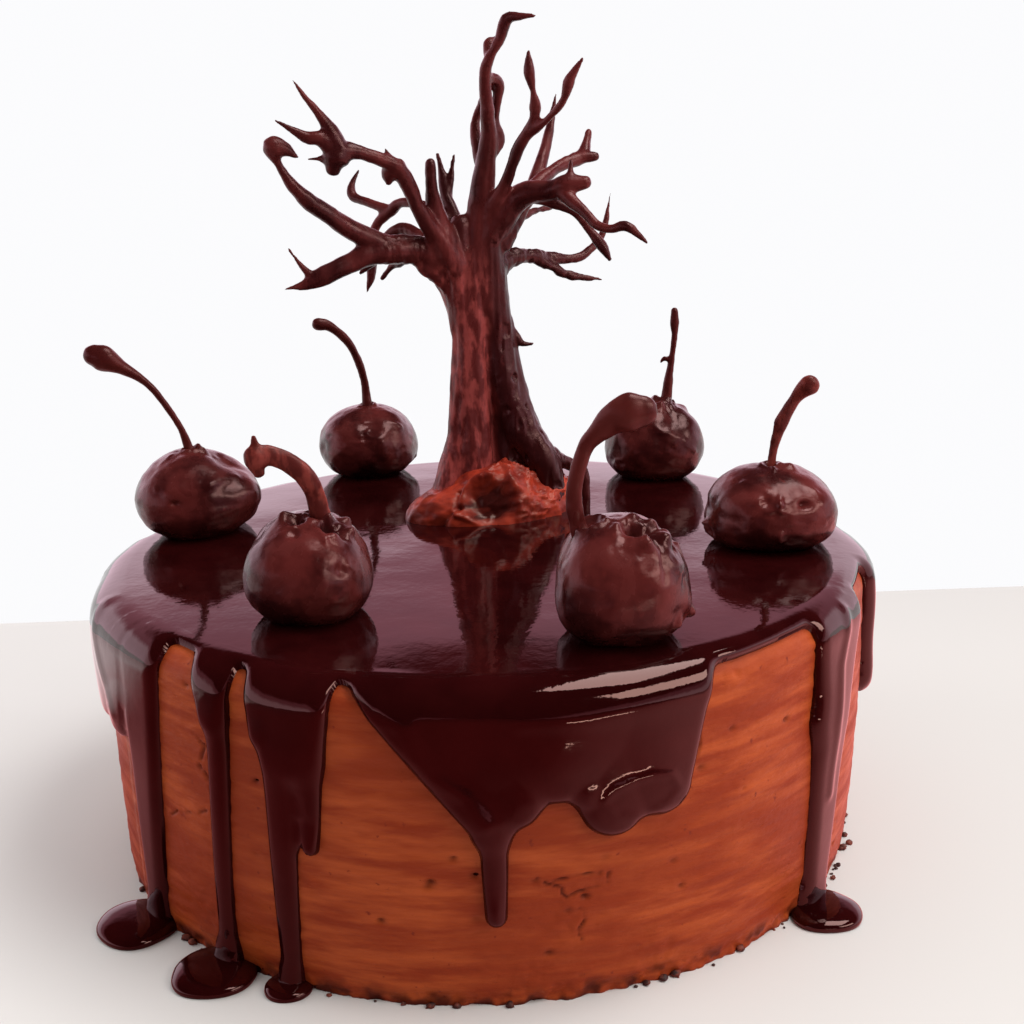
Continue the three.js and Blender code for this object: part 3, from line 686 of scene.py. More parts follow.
def knife_waves(places):
    """The unevenness that the palette knife leaves on the side."""
    swept = places * np.array([1, 1, 7.0])  # stretched along the sweep of the knife
    broad, fine = 0.32 * noise(places, 26, 21), 0.05 * rough(places, 2.2, 2, 29)
    return broad + 0.16 * rough(swept, 16, 3, 22) + fine


def all_pits():
    """The pits that are given, and those drawn by rule."""
    draw = random_stream(PITS["seed"])
    pits = list(KNOWN_PITS)
    for _ in range(PITS["count"]):
        place = (next(draw) * 360 - 180, PITS["from"] + next(draw) * PITS["over"])
        limits = (PITS["reach"], PITS["depth"])
        pits.append((*place, *(low + (high - low) * next(draw) ** 2 for low, high in limits)))
    return pits


def cream_relief(bearing, height, places):
    """How far the buttercream stands out of the plain side, and how dark it is painted there: painted shade
    in cracks and pits, and darker along the foot.
    """
    x = bearing * MM_PER_DEGREE
    out = knife_waves(places)
    ragged = np.max([spot(bearing, height, *patch) for patch in ROUGH_PATCHES], axis=0)
    foot = smooth_step(BASE_BAND["height"], 0.5, height + 1.5 * noise(places, 7, 31))
    crumbly = rough(places, CRUMBLY["size"], 3, 24)
    out += (CRUMBLY["patches"] * ragged + CRUMBLY["foot"] * foot) * crumbly - BASE_BAND["sunk"] * foot
    # Darker in patches along the foot.
    darkening = BASE_BAND["darkening"] * foot * smooth_step(-0.35, 0.5, rough(places, 3, 2, 41))
    wander = 0.5 * noise(places, 1.8, 33) + 0.35 * noise(places, 5, 34)
    broken = smooth_step(-0.55, 0.15, noise(places, 1.7, 36))
    for corners in CRACKS:
        away = distance_to_line(x + wander, height + wander, corners)
        groove = np.exp(-((away / CRACK_WIDTH) ** 2)) * broken
        lip = CRACK_LIP["height"] * np.exp(-((away / CRACK_LIP["reach"]) ** 2))
        out += lip - CRACK_DEPTH * groove
        # Painted shade in the groove of the crack.
        darkening = np.maximum(darkening, CRACK_SHADE * groove)
    for pit_bearing, pit_height, reach, depth in all_pits():
        across = turn_between(bearing, pit_bearing) * MM_PER_DEGREE / PIT_LENGTH
        hole = np.exp(-((across**2 + (height - pit_height) ** 2) / reach**2))
        out -= depth * hole
        # Painted shade in the pit.
        darkening = np.maximum(darkening, PIT_SHADE * min(depth, 1) * hole)
    return out, darkening


def make_buttercream(material):
    """The round body of the cake, meshed finely where it faces the front."""
    fine = np.arange(-FINE_HALF, FINE_HALF, FINE_STEP)
    right = np.arange(FINE_HALF, 180, COARSE_STEP)
    bearings = np.concatenate([fine, right, -right[::-1]])
    heights = np.append(np.arange(0, SKIN_TOP, ROW_STEP), SKIN_TOP)
    height, bearing = (grid.ravel() for grid in np.meshgrid(heights, bearings, indexing="ij"))
    plain = on_skin(bearing, height, np.zeros_like(bearing))
    out, darkening = cream_relief(bearing, height, plain)
    out = np.where(height < 0.1, np.minimum(out, FOOT_REACH), out)
    points = on_skin(bearing, height, out)
    points[: len(bearings), 2] = 0
    rows, columns = len(heights), len(bearings)
    shell = Shell()
    shell.add(points, grid_faces(rows, columns, closed=True) + end_faces(rows, columns))
    mesh = shell.mesh("buttercream_cake")
    add_attribute(mesh, "darkening", darkening)
    add_piece("buttercream_cake", mesh, material, ["cake"])


# ---------------------------------------------------------------- crumbs

CRUMBS = {"count": 130, "seed": 17, "size": (0.3, 1.2), "scatter": 2.2}
CRUMB_COLUMNS = 9
CRUMB_ROWS = 6
CRUMB_TILT = 1.3  # of its lowest and highest ring, as an angle


def crumb(middle, size, seed):
    """An uneven lump the size of a crumb."""
    turn = np.linspace(0, 2 * math.pi, CRUMB_COLUMNS, endpoint=False)
    rings = []
    for tilt in np.linspace(-CRUMB_TILT, CRUMB_TILT, CRUMB_ROWS):
        flat, up = np.cos(tilt), np.full(CRUMB_COLUMNS, np.sin(tilt))
        rings.append(np.stack([np.cos(turn) * flat, np.sin(turn) * flat, up], axis=-1))
    points = np.concatenate(rings)
    lump = 1 + 0.45 * noise(points + seed * 7.3, 0.8, seed)
    points = points * lump[:, None] * np.array([1, 1, 0.7]) * size + middle
    points[:, 2] = np.maximum(points[:, 2], 0)
    faces = grid_faces(CRUMB_ROWS, CRUMB_COLUMNS, closed=True)
    return points, faces + end_faces(CRUMB_ROWS, CRUMB_COLUMNS)


def make_crumbs(material):
    """Crumbs of dark sponge caught along the foot of the cake."""
    draw = random_stream(CRUMBS["seed"])
    low, high = CRUMBS["size"]
    shell = Shell()
    for number in range(CRUMBS["count"]):
        angle = math.radians(next(draw) * 360)
        size = low + (high - low) * next(draw) ** 3
        distance = FOOT_RADIUS + size * 0.2 + CRUMBS["scatter"] * next(draw) ** 4
        middle = np.array([math.sin(angle) * distance, -math.cos(angle) * distance, size * 0.5])
        shell.add(*crumb(middle, size, number))
    add_piece("foot_crumbs", shell.mesh("foot_crumbs"), material)


# ---------------------------------------------------------------- cherries

BALL_COLUMNS = 190
BALL_ROWS = 116
BALL_SINK = 0.9  # how deep a cherry sits in the ganache
BALL_BELOW = 0.1  # share of its height that is cut off by the ganache
BALL_BELLY = 0.14  # how much wider it is low down
SKIRT = {"reach": 1.2, "width": 0.55, "wave": 0.5}  # where its coat runs out on the ganache

COAT = {"lumps": 0.055, "dents": 0.018, "folds": 0.006, "grain": 0.002}  # in shares of the radius
SEEN_FROM = 20  # degrees above level, of the view in which the features below are given

# Cherries: middle on the ganache, width and height. square is 2 for a round one, more for a boxy one.
# Features are given as seen from the front and a little above, in shares of the radius to the right
# and up. Bumps are (right, up, reach, amount), where a minus sinks in. Ridges run between two such
# places, torn places are broken up, and the mouth is the torn rim round the stem.
CHERRIES = {
    "front_left": {
        "at": (-40, -52), "size": (29, 23.4), "seed": 1, "stem": (-36.5, -53), "square": 2.35,
        "bumps": [(-0.55, 0.1, 0.4, 0.04), (0.6, -0.08, 0.1, -0.05), (0.66, -0.02, 0.07, 0.03),
                  (0.25, 0.1, 0.4, 0.045), (-0.13, 0.8, 0.13, -0.24), (-0.32, 0.85, 0.14, 0.12),
                  (-0.1, 0.52, 0.1, -0.07), (0.05, 0.35, 0.2, 0.03), (0.45, 0.66, 0.13, -0.18),
                  (0.66, 0.74, 0.1, 0.12), (0.74, 0.55, 0.09, 0.12), (0.5, 0.44, 0.09, 0.08),
                  (0.4, 0.82, 0.1, 0.1), (-0.7, 0.62, 0.3, -0.05)],
        "ridges": [(-0.8, 0.35, -0.2, 0.2, 0.05, 0.012), (0.28, 0.6, 0.34, 0.36, 0.07, 0.05)],
        "torn": [(0.52, 0.62, 0.24, 0.08), (-0.1, 0.7, 0.15, 0.05)],
        "mouth": (0.24, 0.06),
    },
    "front_right": {
        "at": (30.5, -72), "size": (29.5, 26.5), "seed": 2, "stem": (23.5, -73), "square": 2.4,
        "bumps": [(-0.6, 0.05, 0.4, 0.05), (0.15, 0.68, 0.15, -0.26), (0.38, 0.62, 0.15, -0.14),
                  (-0.08, 0.72, 0.1, 0.08), (0.62, 0.5, 0.12, 0.1), (0.3, 0.42, 0.1, 0.08),
                  (0.5, 0.76, 0.1, 0.09), (0.22, 0.9, 0.12, 0.08), (0.45, -0.2, 0.25, 0.05),
                  (0.95, -0.5, 0.09, 0.16), (0.9, -0.7, 0.08, 0.12), (0.2, 0.1, 0.3, 0.04),
                  (-0.2, -0.4, 0.35, 0.03), (-0.85, 0.45, 0.25, -0.05)],
        "ridges": [(0.62, 0.6, 0.66, -0.65, 0.06, 0.07), (0.84, 0.45, 0.86, -0.55, 0.05, 0.07),
                   (0.74, 0.4, 0.76, -0.6, 0.05, -0.05), (0.48, 0.42, 0.5, -0.1, 0.05, -0.03)],
        "torn": [(0.34, 0.62, 0.3, 0.09), (0.78, 0.1, 0.2, 0.04)],
        "mouth": (0.26, 0.05),
    },
    "left": {
        "at": (-78, 23), "size": (33, 22.4), "seed": 3, "stem": (-78.5, 22), "square": 2.1,
        "bumps": [(0.9, -0.05, 0.33, 0.13), (0.35, 0.12, 0.2, 0.05), (0.62, 0.72, 0.4, -0.22),
                  (-0.45, 0.2, 0.5, 0.07), (-0.2, -0.25, 0.05, -0.06), (-0.22, -0.02, 0.16, 0.03),
                  (0.06, 0.95, 0.1, 0.1), (0.2, 0.88, 0.08, 0.09)],
        "ridges": [(-0.4, 0.75, -0.5, 0.0, 0.04, 0.015), (0.4, 0.15, 0.75, 0.25, 0.08, 0.03)],
        "torn": [(0.1, 0.9, 0.16, 0.05)],
        "mouth": (0.18, 0.05),
    },
    "back_left": {
        "at": (-34.5, 84), "size": (31, 20.5), "seed": 4, "stem": (-34, 84), "square": 2.3,
        "bumps": [(-0.4, 0.3, 0.4, 0.07), (0.6, 0.4, 0.35, 0.08), (0.12, 0.3, 0.18, -0.05),
                  (-0.1, -0.1, 0.16, 0.04), (0.98, -0.5, 0.07, 0.14), (-0.85, -0.2, 0.2, -0.05),
                  (0.3, -0.05, 0.2, 0.04)],
        "ridges": [(0.0, 0.4, 0.7, 0.25, 0.05, 0.03), (-0.7, 0.05, 0.1, 0.0, 0.05, -0.025)],
        "torn": [(0.1, 0.1, 0.2, 0.03)],
        "mouth": (0.2, 0.05),
    },
    "back_right": {
        "at": (54.5, 67), "size": (29, 22.5), "seed": 5, "stem": (58, 67), "square": 2.35,
        "bumps": [(-0.7, 0.2, 0.3, 0.08), (-0.3, 0.5, 0.25, 0.06), (0.35, 0.3, 0.25, -0.06),
                  (0.75, 0.35, 0.3, 0.07), (-0.5, -0.3, 0.3, 0.05), (0.7, 0.75, 0.15, 0.08),
                  (0.35, 0.85, 0.14, -0.14), (0.1, 0.7, 0.12, 0.08)],
        "ridges": [(-0.6, 0.5, 0.1, 0.1, 0.06, 0.04), (0.2, 0.1, 0.7, -0.3, 0.06, 0.03)],
        "torn": [(0.3, 0.75, 0.25, 0.08), (-0.7, -0.6, 0.2, 0.05)],
        "mouth": (0.26, 0.09),
    },
    "right": {
        "at": (76, -6.5), "size": (33, 19.5), "seed": 6, "stem": (76, -7), "square": 2.35,
        "bumps": [(0.36, 0.02, 0.08, -0.12), (-0.2, 0.07, 0.1, -0.07), (-0.32, 0.12, 0.12, 0.04),
                  (0.28, 0.83, 0.13, 0.1), (-0.6, 0.1, 0.4, 0.04), (0.75, 0.1, 0.35, 0.05),
                  (-0.99, -0.35, 0.08, 0.14), (-0.95, -0.6, 0.08, 0.14), (0.3, 0.2, 0.12, 0.03),
                  (-0.05, -0.35, 0.2, -0.03)],
        "ridges": [(-0.03, 0.8, 0.02, 0.1, 0.045, 0.06), (0.02, 0.1, 0.0, -0.7, 0.05, 0.045),
                   (-0.5, 0.5, -0.15, 0.3, 0.08, 0.03), (0.55, 0.3, 0.6, -0.4, 0.04, 0.02)],
        "torn": [(-0.1, 0.0, 0.3, 0.025), (-0.95, -0.5, 0.18, 0.07)],
        "mouth": (0.18, 0.04),
    },
}


def facing(right, up):
    """The place on the near half of a unit ball that is seen that far to the right and up."""
    near = math.sqrt(max(1 - right**2 - up**2, 0))
    tilt = math.radians(SEEN_FROM)
    return np.array([
        right, up * math.sin(tilt) - near * math.cos(tilt), up * math.cos(tilt) + near * math.sin(tilt),
    ])


def ball_places(columns, rows):
    """Places on a unit ball in rings from the bottom up, without its two poles."""
    turn = np.linspace(0, 2 * math.pi, columns, endpoint=False)
    tilt = np.linspace(-math.pi / 2, math.pi / 2, rows + 2)[1:-1]
    tilt, turn = (grid.ravel() for grid in np.meshgrid(tilt, turn, indexing="ij"))
    return np.stack([np.cos(turn) * np.cos(tilt), np.sin(turn) * np.cos(tilt), np.sin(tilt)], axis=-1)


def distance_to_chord(places, a, b):
    """Distance to the straight line between two places."""
    along = b - a
    share = np.clip((places - a) @ along / (along @ along), 0, 1)
    return np.linalg.norm(places - a - share[:, None] * along, axis=1)


def cherry_swell(places, cherry, mouth_place):
    """How much each place on the ball is pushed out, as a share of the radius."""
    seed = cherry["seed"] * 10
    swell = COAT["lumps"] * noise(places, 0.75, seed) + COAT["dents"] * rough(places, 0.3, 2, seed + 1)
    folds = noise(places * np.array([1, 1, 0.4]), 0.16, seed + 4)
    swell += COAT["folds"] * folds + COAT["grain"] * rough(places, 0.06, 2, seed + 5)
    for right, up, reach, amount in cherry["bumps"]:
        away = np.linalg.norm(places - facing(right, up), axis=1)
        swell += amount * np.exp(-((away / reach) ** 2))
    for right_a, up_a, right_b, up_b, reach, amount in cherry["ridges"]:
        bend = 0.05 * noise(places, 0.3, seed + 6)[:, None]
        away = distance_to_chord(places + bend, facing(right_a, up_a), facing(right_b, up_b))
        swell += amount * np.exp(-((away / reach) ** 2))
    for right, up, reach, amount in cherry["torn"]:
        away = np.linalg.norm(places - facing(right, up), axis=1)
        crests = 1 - 2 * np.abs(rough(places, 0.3, 3, seed + 8))
        swell += amount * crests * np.exp(-((away / reach) ** 2))
    reach, amount = cherry["mouth"]
    away = np.linalg.norm(places - mouth_place, axis=1) / reach
    torn = 1 + 0.9 * rough(places, 0.16, 2, seed + 7)
    rim = torn * np.exp(-(((away - 0.85) / 0.3) ** 2))
    swell += amount * (rim - 1.1 * np.exp(-((away / 0.6) ** 2)))
    return swell


def make_cherry(place, cherry, material):
    """A cherry in its coat: a squat uneven ball that sits a little in the ganache."""
    width, height = cherry["size"]
    floor = GLAZE_TOP - BALL_SINK
    top = GLAZE_TOP + CHERRY_LIFT + height
    bottom = GLAZE_TOP + CHERRY_LIFT - height * BALL_BELOW
    half = (top - bottom) / 2
    middle = np.array([*cherry["at"], (top + bottom) / 2])
    stem = (np.array(cherry["stem"]) - cherry["at"]) / (width / 2)
    mouth_place = np.array([*stem, math.sqrt(max(1 - stem @ stem, 0.05))])
    places = np.vstack([ball_places(BALL_COLUMNS, BALL_ROWS), [[0, 0, -1], [0, 0, 1]]])
    swell = 1 + cherry_swell(places, cherry, mouth_place)
    belly = 1 - BALL_BELLY * places[:, 2]
    power = cherry["square"]
    boxy = (np.abs(places) ** power).sum(axis=1) ** (-1 / power)
    sizes = [belly * width / 2, belly * width / 2, np.full(len(places), half)]
    shape = places * boxy[:, None] * np.stack(sizes, axis=-1)
    points = middle + shape * swell[:, None]
    lifted = np.maximum(points[:, 2], floor)
    skirt = np.exp(-((points[:, 2] - floor) / SKIRT["reach"]) ** 2) * (points[:, 2] > floor)
    from_middle = points[:, :2] - middle[:2]
    around = from_middle / np.linalg.norm(from_middle + 1e-6, axis=1)[:, None]
    waves = noise(np.stack([*(around.T * 3), 0 * lifted], axis=-1), 0.8, cherry["seed"])
    ruffle = SKIRT["width"] + SKIRT["wave"] * waves
    points[:, :2] += around * (skirt * ruffle)[:, None]
    points[:, 2] = lifted
    first, last = len(points) - 2, len(points) - 1
    ring = np.arange(BALL_COLUMNS)
    crown = ring + BALL_COLUMNS * (BALL_ROWS - 1)
    faces = grid_faces(BALL_ROWS, BALL_COLUMNS, closed=True)
    faces += [[first, (i + 1) % BALL_COLUMNS, i] for i in ring.tolist()]
    faces += [[last, a, b] for a, b in zip(crown.tolist(), np.roll(crown, -1).tolist())]
    shell = Shell()
    shell.add(points, faces)
    name = f"dipped_cherry_{place}"
    add_piece(name, shell.mesh(name), material, [f"cherry_{place}"])


# ---------------------------------------------------------------- bars: stems and limbs

def smooth_rows(rows, step):
    """Rows of x, y, z and width, filled in along a smooth curve."""
    rows = np.array(rows, dtype=float)
    padded = np.vstack([2 * rows[0] - rows[1], rows, 2 * rows[-1] - rows[-2]])
    pieces = []
    for index in range(len(rows) - 1):
        before, a, b, after = padded[index : index + 4]
        count = max(2, math.ceil(np.linalg.norm((b - a)[:3]) / step))
        t = np.linspace(0, 1, count, endpoint=False)[:, None]
        bend = (2 * before - 5 * a + 4 * b - after) * t**2 + (3 * a - before - 3 * b + after) * t**3
        pieces.append((2 * a + (b - before) * t + bend) / 2)
    return np.vstack([*pieces, rows[-1:]])


BAR_SIDES = 18
BAR_STEP = 0.8
THINNEST = 0.5
ROUND_END = np.array([0.25, 0.6, 0.9])  # where the rings of a rounded end lie, in shares of its radius


def add_bar(shell, rows, flat=1.0):
    """A bent tapering bar with rounded ends. flat is its thickness along Y over its width."""
    line = smooth_rows(rows, BAR_STEP)
    middle, radius = line[:, :3], np.maximum(line[:, 3], THINNEST) / 2
    along = np.gradient(middle, axis=0)
    along /= np.linalg.norm(along, axis=1)[:, None]
    caps = []
    for end, sign, shares in [(0, -1, ROUND_END[::-1]), (-1, 1, ROUND_END)]:
        reach = radius[end] * shares[:, None] * sign
        spots = middle[end] + along[end] * reach
        caps.append((spots, radius[end] * np.sqrt(1 - shares**2)))
    middle = np.vstack([caps[0][0], middle, caps[1][0]])
    radius = np.concatenate([caps[0][1], radius, caps[1][1]])
    added = len(ROUND_END)
    along = np.vstack([along[:1].repeat(added, 0), along, along[-1:].repeat(added, 0)])
    side = np.cross([0, 1, 0], along[0])
    if np.linalg.norm(side) < 0.3:  # the bar starts along Y
        side = np.array([1.0, 0, 0])
    turn = np.linspace(0, 2 * math.pi, BAR_SIDES, endpoint=False)
    rings = []
    for spot_middle, spot_radius, tangent in zip(middle, radius, along):
        side = side - tangent * (side @ tangent)
        side /= np.linalg.norm(side)
        across = np.cross(tangent, side)
        ring = spot_radius * (np.cos(turn)[:, None] * side + np.sin(turn)[:, None] * across)
        ring[:, 1] *= flat
        rings.append(ring + spot_middle)
    faces = grid_faces(len(rings), BAR_SIDES, closed=True) + end_faces(len(rings), BAR_SIDES)
    shell.add(np.concatenate(rings), faces)


def weathered(mesh, rule):
    """Moves a mesh in and out along its normals, by a rule of its points."""
    points = mesh_points(mesh)
    set_points(mesh, points + mesh_normals(mesh) * rule(points)[:, None])
    mesh.shade_smooth()


# Stems: how flat, how far rubbed red, then bars from the cherry up, as rows of x, y, z and width.
STEMS = {
    "front_left": (0.5, 0.8, [
        [(-36.5, -53, 93, 6.4), (-36, -53, 97.5, 5.4), (-36.5, -53, 103, 4.8), (-38, -54, 108.5, 5),
         (-41.5, -55, 113, 5), (-46, -56, 115.5, 5), (-49, -57, 115.5, 6.2)],
        [(-49.4, -57, 120, 1.4), (-49.2, -57, 117.5, 3.2), (-49.6, -57, 114.5, 4), (-48.8, -57, 112, 2.8)],
    ]),
    "front_right": (0.6, 0, [
        [(23.5, -73, 97, 6), (21.5, -73, 101, 4.2), (20.5, -73, 106.5, 3.8), (21, -73, 112.5, 3.6),
         (23, -73, 118.5, 3.7), (25.5, -74, 122, 4.6), (28.5, -75, 125, 6.6), (32, -76, 126.8, 8.6),
         (35, -76, 127, 7)],
    ]),
    "left": (0.8, 0, [
        [(-78.5, 22, 97, 3.6), (-79.5, 22, 101, 2.6), (-81, 21, 106.5, 2.2), (-84, 20, 112.5, 2),
         (-87, 19, 117.5, 2.2), (-91, 18, 121.5, 2.6), (-94.5, 17, 124, 4), (-98.5, 16, 126.6, 7),
         (-101, 16, 127.6, 6)],
    ]),
    "back_left": (0.8, 0, [
        [(-34, 84, 92.5, 5.4), (-34, 84, 97.5, 3.6), (-34.5, 84, 104.5, 2.7), (-36, 83, 112, 2.6),
         (-39, 82, 118.5, 2.8), (-44, 81, 123.5, 3.2), (-47.6, 80, 124.6, 4.2)],
    ]),
    "back_right": (0.8, 0, [
        [(58, 67, 94, 6), (58.5, 67, 100, 3.8), (59, 67, 104.5, 3), (60, 67, 111.5, 2.2),
         (61, 67, 119, 2), (61, 67, 123.5, 3), (61, 67, 127, 2.4)],
        [(60, 67, 112, 1.4), (57.8, 67, 112.6, 1.8), (56.8, 67, 111.4, 1)],
    ]),
    "right": (0.6, 0.6, [
        [(76, -7, 94, 3), (76.5, -7, 99, 2.4), (77.3, -7, 103.5, 2.8), (78.8, -8, 109, 3.8),
         (81, -9, 113.5, 3.2), (83, -10, 116.5, 4.2), (84.8, -11, 118.4, 5.4)],
    ]),
}
STEM_VOXEL = 0.28
STEM_SMOOTHING = 9
STEM_RELIEF = {"height": 0.16, "size": 3.2}


def make_stem(place, material):
    """A cherry's stem in its coat of chocolate."""
    flat, rubbed_and_painted_light, bars = STEMS[place]
    shell = Shell()
    for rows in bars:
        add_bar(shell, rows, flat)
    name = f"dipped_stem_{place}"
    mesh = fused(shell.mesh(name), STEM_VOXEL)
    mesh.name = name
    relax(mesh, STEM_SMOOTHING)
    weathered(mesh, lambda points: STEM_RELIEF["height"] * rough(points, STEM_RELIEF["size"], 2, 51))
    add_attribute(mesh, "rubbed_and_painted_light", np.full(len(mesh.vertices), float(rubbed_and_painted_light)))
    add_piece(name, mesh, material, [f"stem_{place}"])


# ---------------------------------------------------------------- tree

# Limbs from the thick end out: rows of x, y, z and diameter.
FEET = [
    [(-12.5, 25, 75, 7), (-10, 27, 82, 7.4), (-6.5, 29, 89.5, 8.4), (-3.5, 30, 101, 8.4),
     (-2.5, 30, 115, 7.8), (-2, 30, 127.5, 7.6), (-2.5, 30, 142, 8.6), (-2, 30, 157.5, 7)],
    [(21.5, 29, 79, 8), (20, 30, 86, 9.5), (17, 30, 93, 10.5), (12.5, 31, 101, 11), (8.8, 32, 113, 10.2),
     (7, 32, 127, 9.4), (5, 31, 142, 10), (4.5, 31, 163, 9)],
    [(9, 34, 76, 13), (9, 34, 92, 12), (7, 34, 108, 10), (5, 33, 132, 8)],
    [(-1.5, 29.5, 76, 11.5), (-1.2, 29.5, 90, 11), (-0.8, 30, 110, 10), (-0.3, 30, 130, 9),
     (-0.5, 30, 150, 8)],
    [(-3, 30, 128, 6), (-4.6, 30, 136, 6), (-7.4, 29.5, 142.8, 6), (-12, 28, 148, 6.6)],
    [(-4, 33, 93, 6), (-9, 40, 84, 4.4), (-14, 46, 76, 3)],
    [(19, 31, 93, 6), (26, 36, 88.5, 4), (30.5, 40, 85, 3.2), (31.5, 40, 76, 2.6)],
]
BOUGHS = [
    # low left bough with its bulb and two thorns
    [(-1, 31, 141, 9), (-7, 29, 148, 8.2), (-14.5, 27, 151.5, 7.8), (-23, 24, 152, 7.4), (-28, 22, 151, 6.4),
     (-34, 20, 148.5, 5), (-39, 19, 146.5, 5.4), (-43.5, 18, 144.5, 3.4), (-49, 16, 143.5, 0.8)],
    [(-41.5, 18.5, 145.5, 3.2), (-45, 17, 150, 1.4), (-47.5, 16, 154, 0.8)],
    [(-24, 26, 151, 4.4), (-26.5, 30, 148.5, 3.2), (-30, 30, 145.5, 1.6)],
    # long left bough that ends in an egg
    [(-20, 25, 152, 6), (-31, 20, 158, 5.6), (-36, 17, 162, 5), (-41, 14, 166, 4.4), (-45, 12, 170.5, 3.4),
     (-48, 10.5, 176, 2.2), (-49, 10, 180, 6.2), (-46, 10, 179.5, 3.6), (-43, 10, 177.5, 0.8)],
    # upper left bough that ends in a claw
    [(-4, 28, 147, 7.5), (-9.5, 24, 156.5, 5.4), (-13, 21, 162.5, 4.4), (-15.5, 18, 169.5, 4.2),
     (-18.5, 15.5, 174.5, 4.2), (-26.5, 12, 178, 3.6), (-30.5, 11, 178.5, 5.4), (-33, 10, 177, 7),
     (-34, 10, 174.5, 4)],
    [(-32, 10, 178, 5.6), (-34, 9, 183.5, 4.2), (-37, 8, 188.5, 2.2), (-40, 7, 192.5, 1.6),
     (-42.5, 6, 196.5, 0.8)],
    [(-33, 10, 178.5, 5), (-36.5, 8, 182, 4), (-40, 7, 182.5, 3), (-43.5, 6, 184.5, 2), (-47.5, 5, 187, 0.8)],
    [(-33.5, 10, 176.5, 3.6), (-37.5, 10, 177, 1.4), (-40.5, 10, 177, 0.8)],
    [(-17.5, 16, 174.5, 4), (-20, 17, 172.5, 5.2), (-20.5, 17, 170, 1.6)],
    [(-19, 15.5, 175, 3), (-21, 16, 179, 0.8)],
    # fork behind the left side
    [(-1, 32, 152, 5), (-8, 38, 160, 3.8), (-17, 46, 163, 3), (-22, 50, 160.5, 3.2), (-27, 52, 155, 2.8),
     (-28, 47, 144, 2.8), (-29.5, 45, 138.5, 0.8)],
    [(-22, 50, 160.5, 3), (-29, 54, 163, 2.8), (-33, 57, 164.5, 2.8), (-33, 58, 168, 2.2),
     (-31, 59, 171.5, 0.8)],
    [(-15, 29, 151.5, 4.5), (-21.5, 36, 146.5, 2.6), (-24.5, 37, 143, 2)],
    [(-5, 31, 151, 4), (-13.5, 38, 154.5, 3), (-18.5, 42, 156, 4), (-24, 44, 154, 1.4)],
    # upright stubs and twin twigs left of the crown
    [(-4, 29, 148, 7), (-8.5, 25, 161.5, 4.8), (-9.5, 23, 168.5, 3.4), (-9.5, 22, 174.5, 3)],
    [(0, 33, 150, 5), (-4.5, 38, 161.5, 3.4), (-6, 40, 165, 3.6), (-7, 42, 171, 2.2), (-8, 43, 176, 1.2)],
    [(-5.5, 40, 163, 3), (-4.5, 41, 169.5, 1.6), (-3.5, 42, 175.5, 0.8)],
    # leader with its crooked tip
    [(2, 31, 152, 9), (4, 29, 167, 6.4), (6, 26, 180, 5), (6, 24, 186.5, 3.8), (5.5, 22.5, 196, 3.6),
     (7, 21, 201, 2.6), (9.5, 20, 205, 2.6), (11.5, 20, 210, 3.4), (14.5, 18, 210.5, 2),
     (18.5, 16, 210.5, 1)],
    [(4.5, 29, 171, 4), (2.5, 33, 182.5, 2.8), (4.5, 33, 189, 2), (6, 25, 193.5, 2.4)],
    [(6, 23, 196, 3), (9, 27, 194, 3.2), (8, 28, 185, 2.4), (9, 29, 179.5, 3), (5.5, 27.5, 174, 3)],
    [(6.5, 22.5, 200, 2.4), (7, 24, 204, 3.2), (8.5, 26, 206, 1)],
    # pair of twigs right of the leader
    [(5, 29, 158, 6), (10.5, 24, 169.5, 3.6), (13, 20, 176.5, 3.4), (17.5, 15, 185, 3), (18, 14, 188.5, 3.4),
     (17.5, 13, 192, 1.8), (16.5, 12, 197, 3.2), (16.5, 12, 202, 1)],
    [(16, 17, 181.5, 3), (22, 11, 186, 2.2), (25, 8, 190, 2), (26.5, 6, 194.5, 3), (29.5, 4, 199.5, 0.8)],
    [(9, 31, 152, 5), (14, 34, 159.5, 4), (19, 40, 168.5, 4.4), (22.5, 46, 178.5, 3), (24, 48, 184.5, 2),
     (25.5, 50, 191, 0.8)],
    # right bough with its cut end, thorn and the bough behind it
    [(3, 31, 151, 9), (11.5, 28, 162.5, 7.6), (16.5, 26, 166, 6.6), (22.5, 24, 166.5, 5.6),
     (26.5, 22, 168, 5.6), (31, 21, 168.5, 4)],
    [(27, 22, 167, 3.4), (27.5, 22, 174, 1.2)],
    [(15, 29, 165, 4.4), (23, 38, 170.5, 3.6), (27, 42, 172.5, 3.6), (32, 46, 174, 4.2), (33.5, 48, 177, 2.8),
     (34.5, 50, 180.5, 2.2)],
    [(30, 45, 173.5, 4), (36, 45, 174, 2.4)],
    # twigs that hang from the right bough
    [(24, 23, 167, 4.4), (30, 17, 161.5, 3.2), (33.5, 14, 158, 2.8), (37, 12, 157, 2.4), (41, 10, 157.5, 2.8),
     (46, 8, 153.5, 1)],
    [(17, 27, 165, 4), (25, 26, 162, 2.6), (29, 25, 160, 2.4), (32, 24, 156, 2.4), (35.5, 23, 151.5, 3),
     (37.5, 22, 148, 1.2)],
    # low right bough that curls up at the end, its fork, and a twig behind
    [(4, 32, 143, 8), (11.5, 38, 147.5, 5.2), (19, 44, 147, 4), (23.5, 47, 146, 3.4), (30.5, 50, 145.5, 2.6),
     (35, 52, 148, 2.4), (38.5, 54, 152, 2.4), (41, 56, 163, 0.8)],
    [(18, 43, 147, 3.4), (26, 46, 142, 2.8), (31, 47, 140.5, 2.6), (37.5, 48, 139.5, 0.8)],
    [(7, 34, 149, 5), (12.5, 46, 155.5, 2.8), (17.5, 52, 158.5, 2.2), (24, 58, 159.5, 1.6)],
    [(8, 32, 131, 4), (11.5, 32, 126.8, 2.4), (14, 32, 124.4, 1.8), (16.8, 32, 124.2, 1.2)],
]
TREE_VOXEL = 0.47
TREE_SMOOTHING = 4
TREE_FOOT = GLAZE_TOP - 0.6  # where it is cut off level
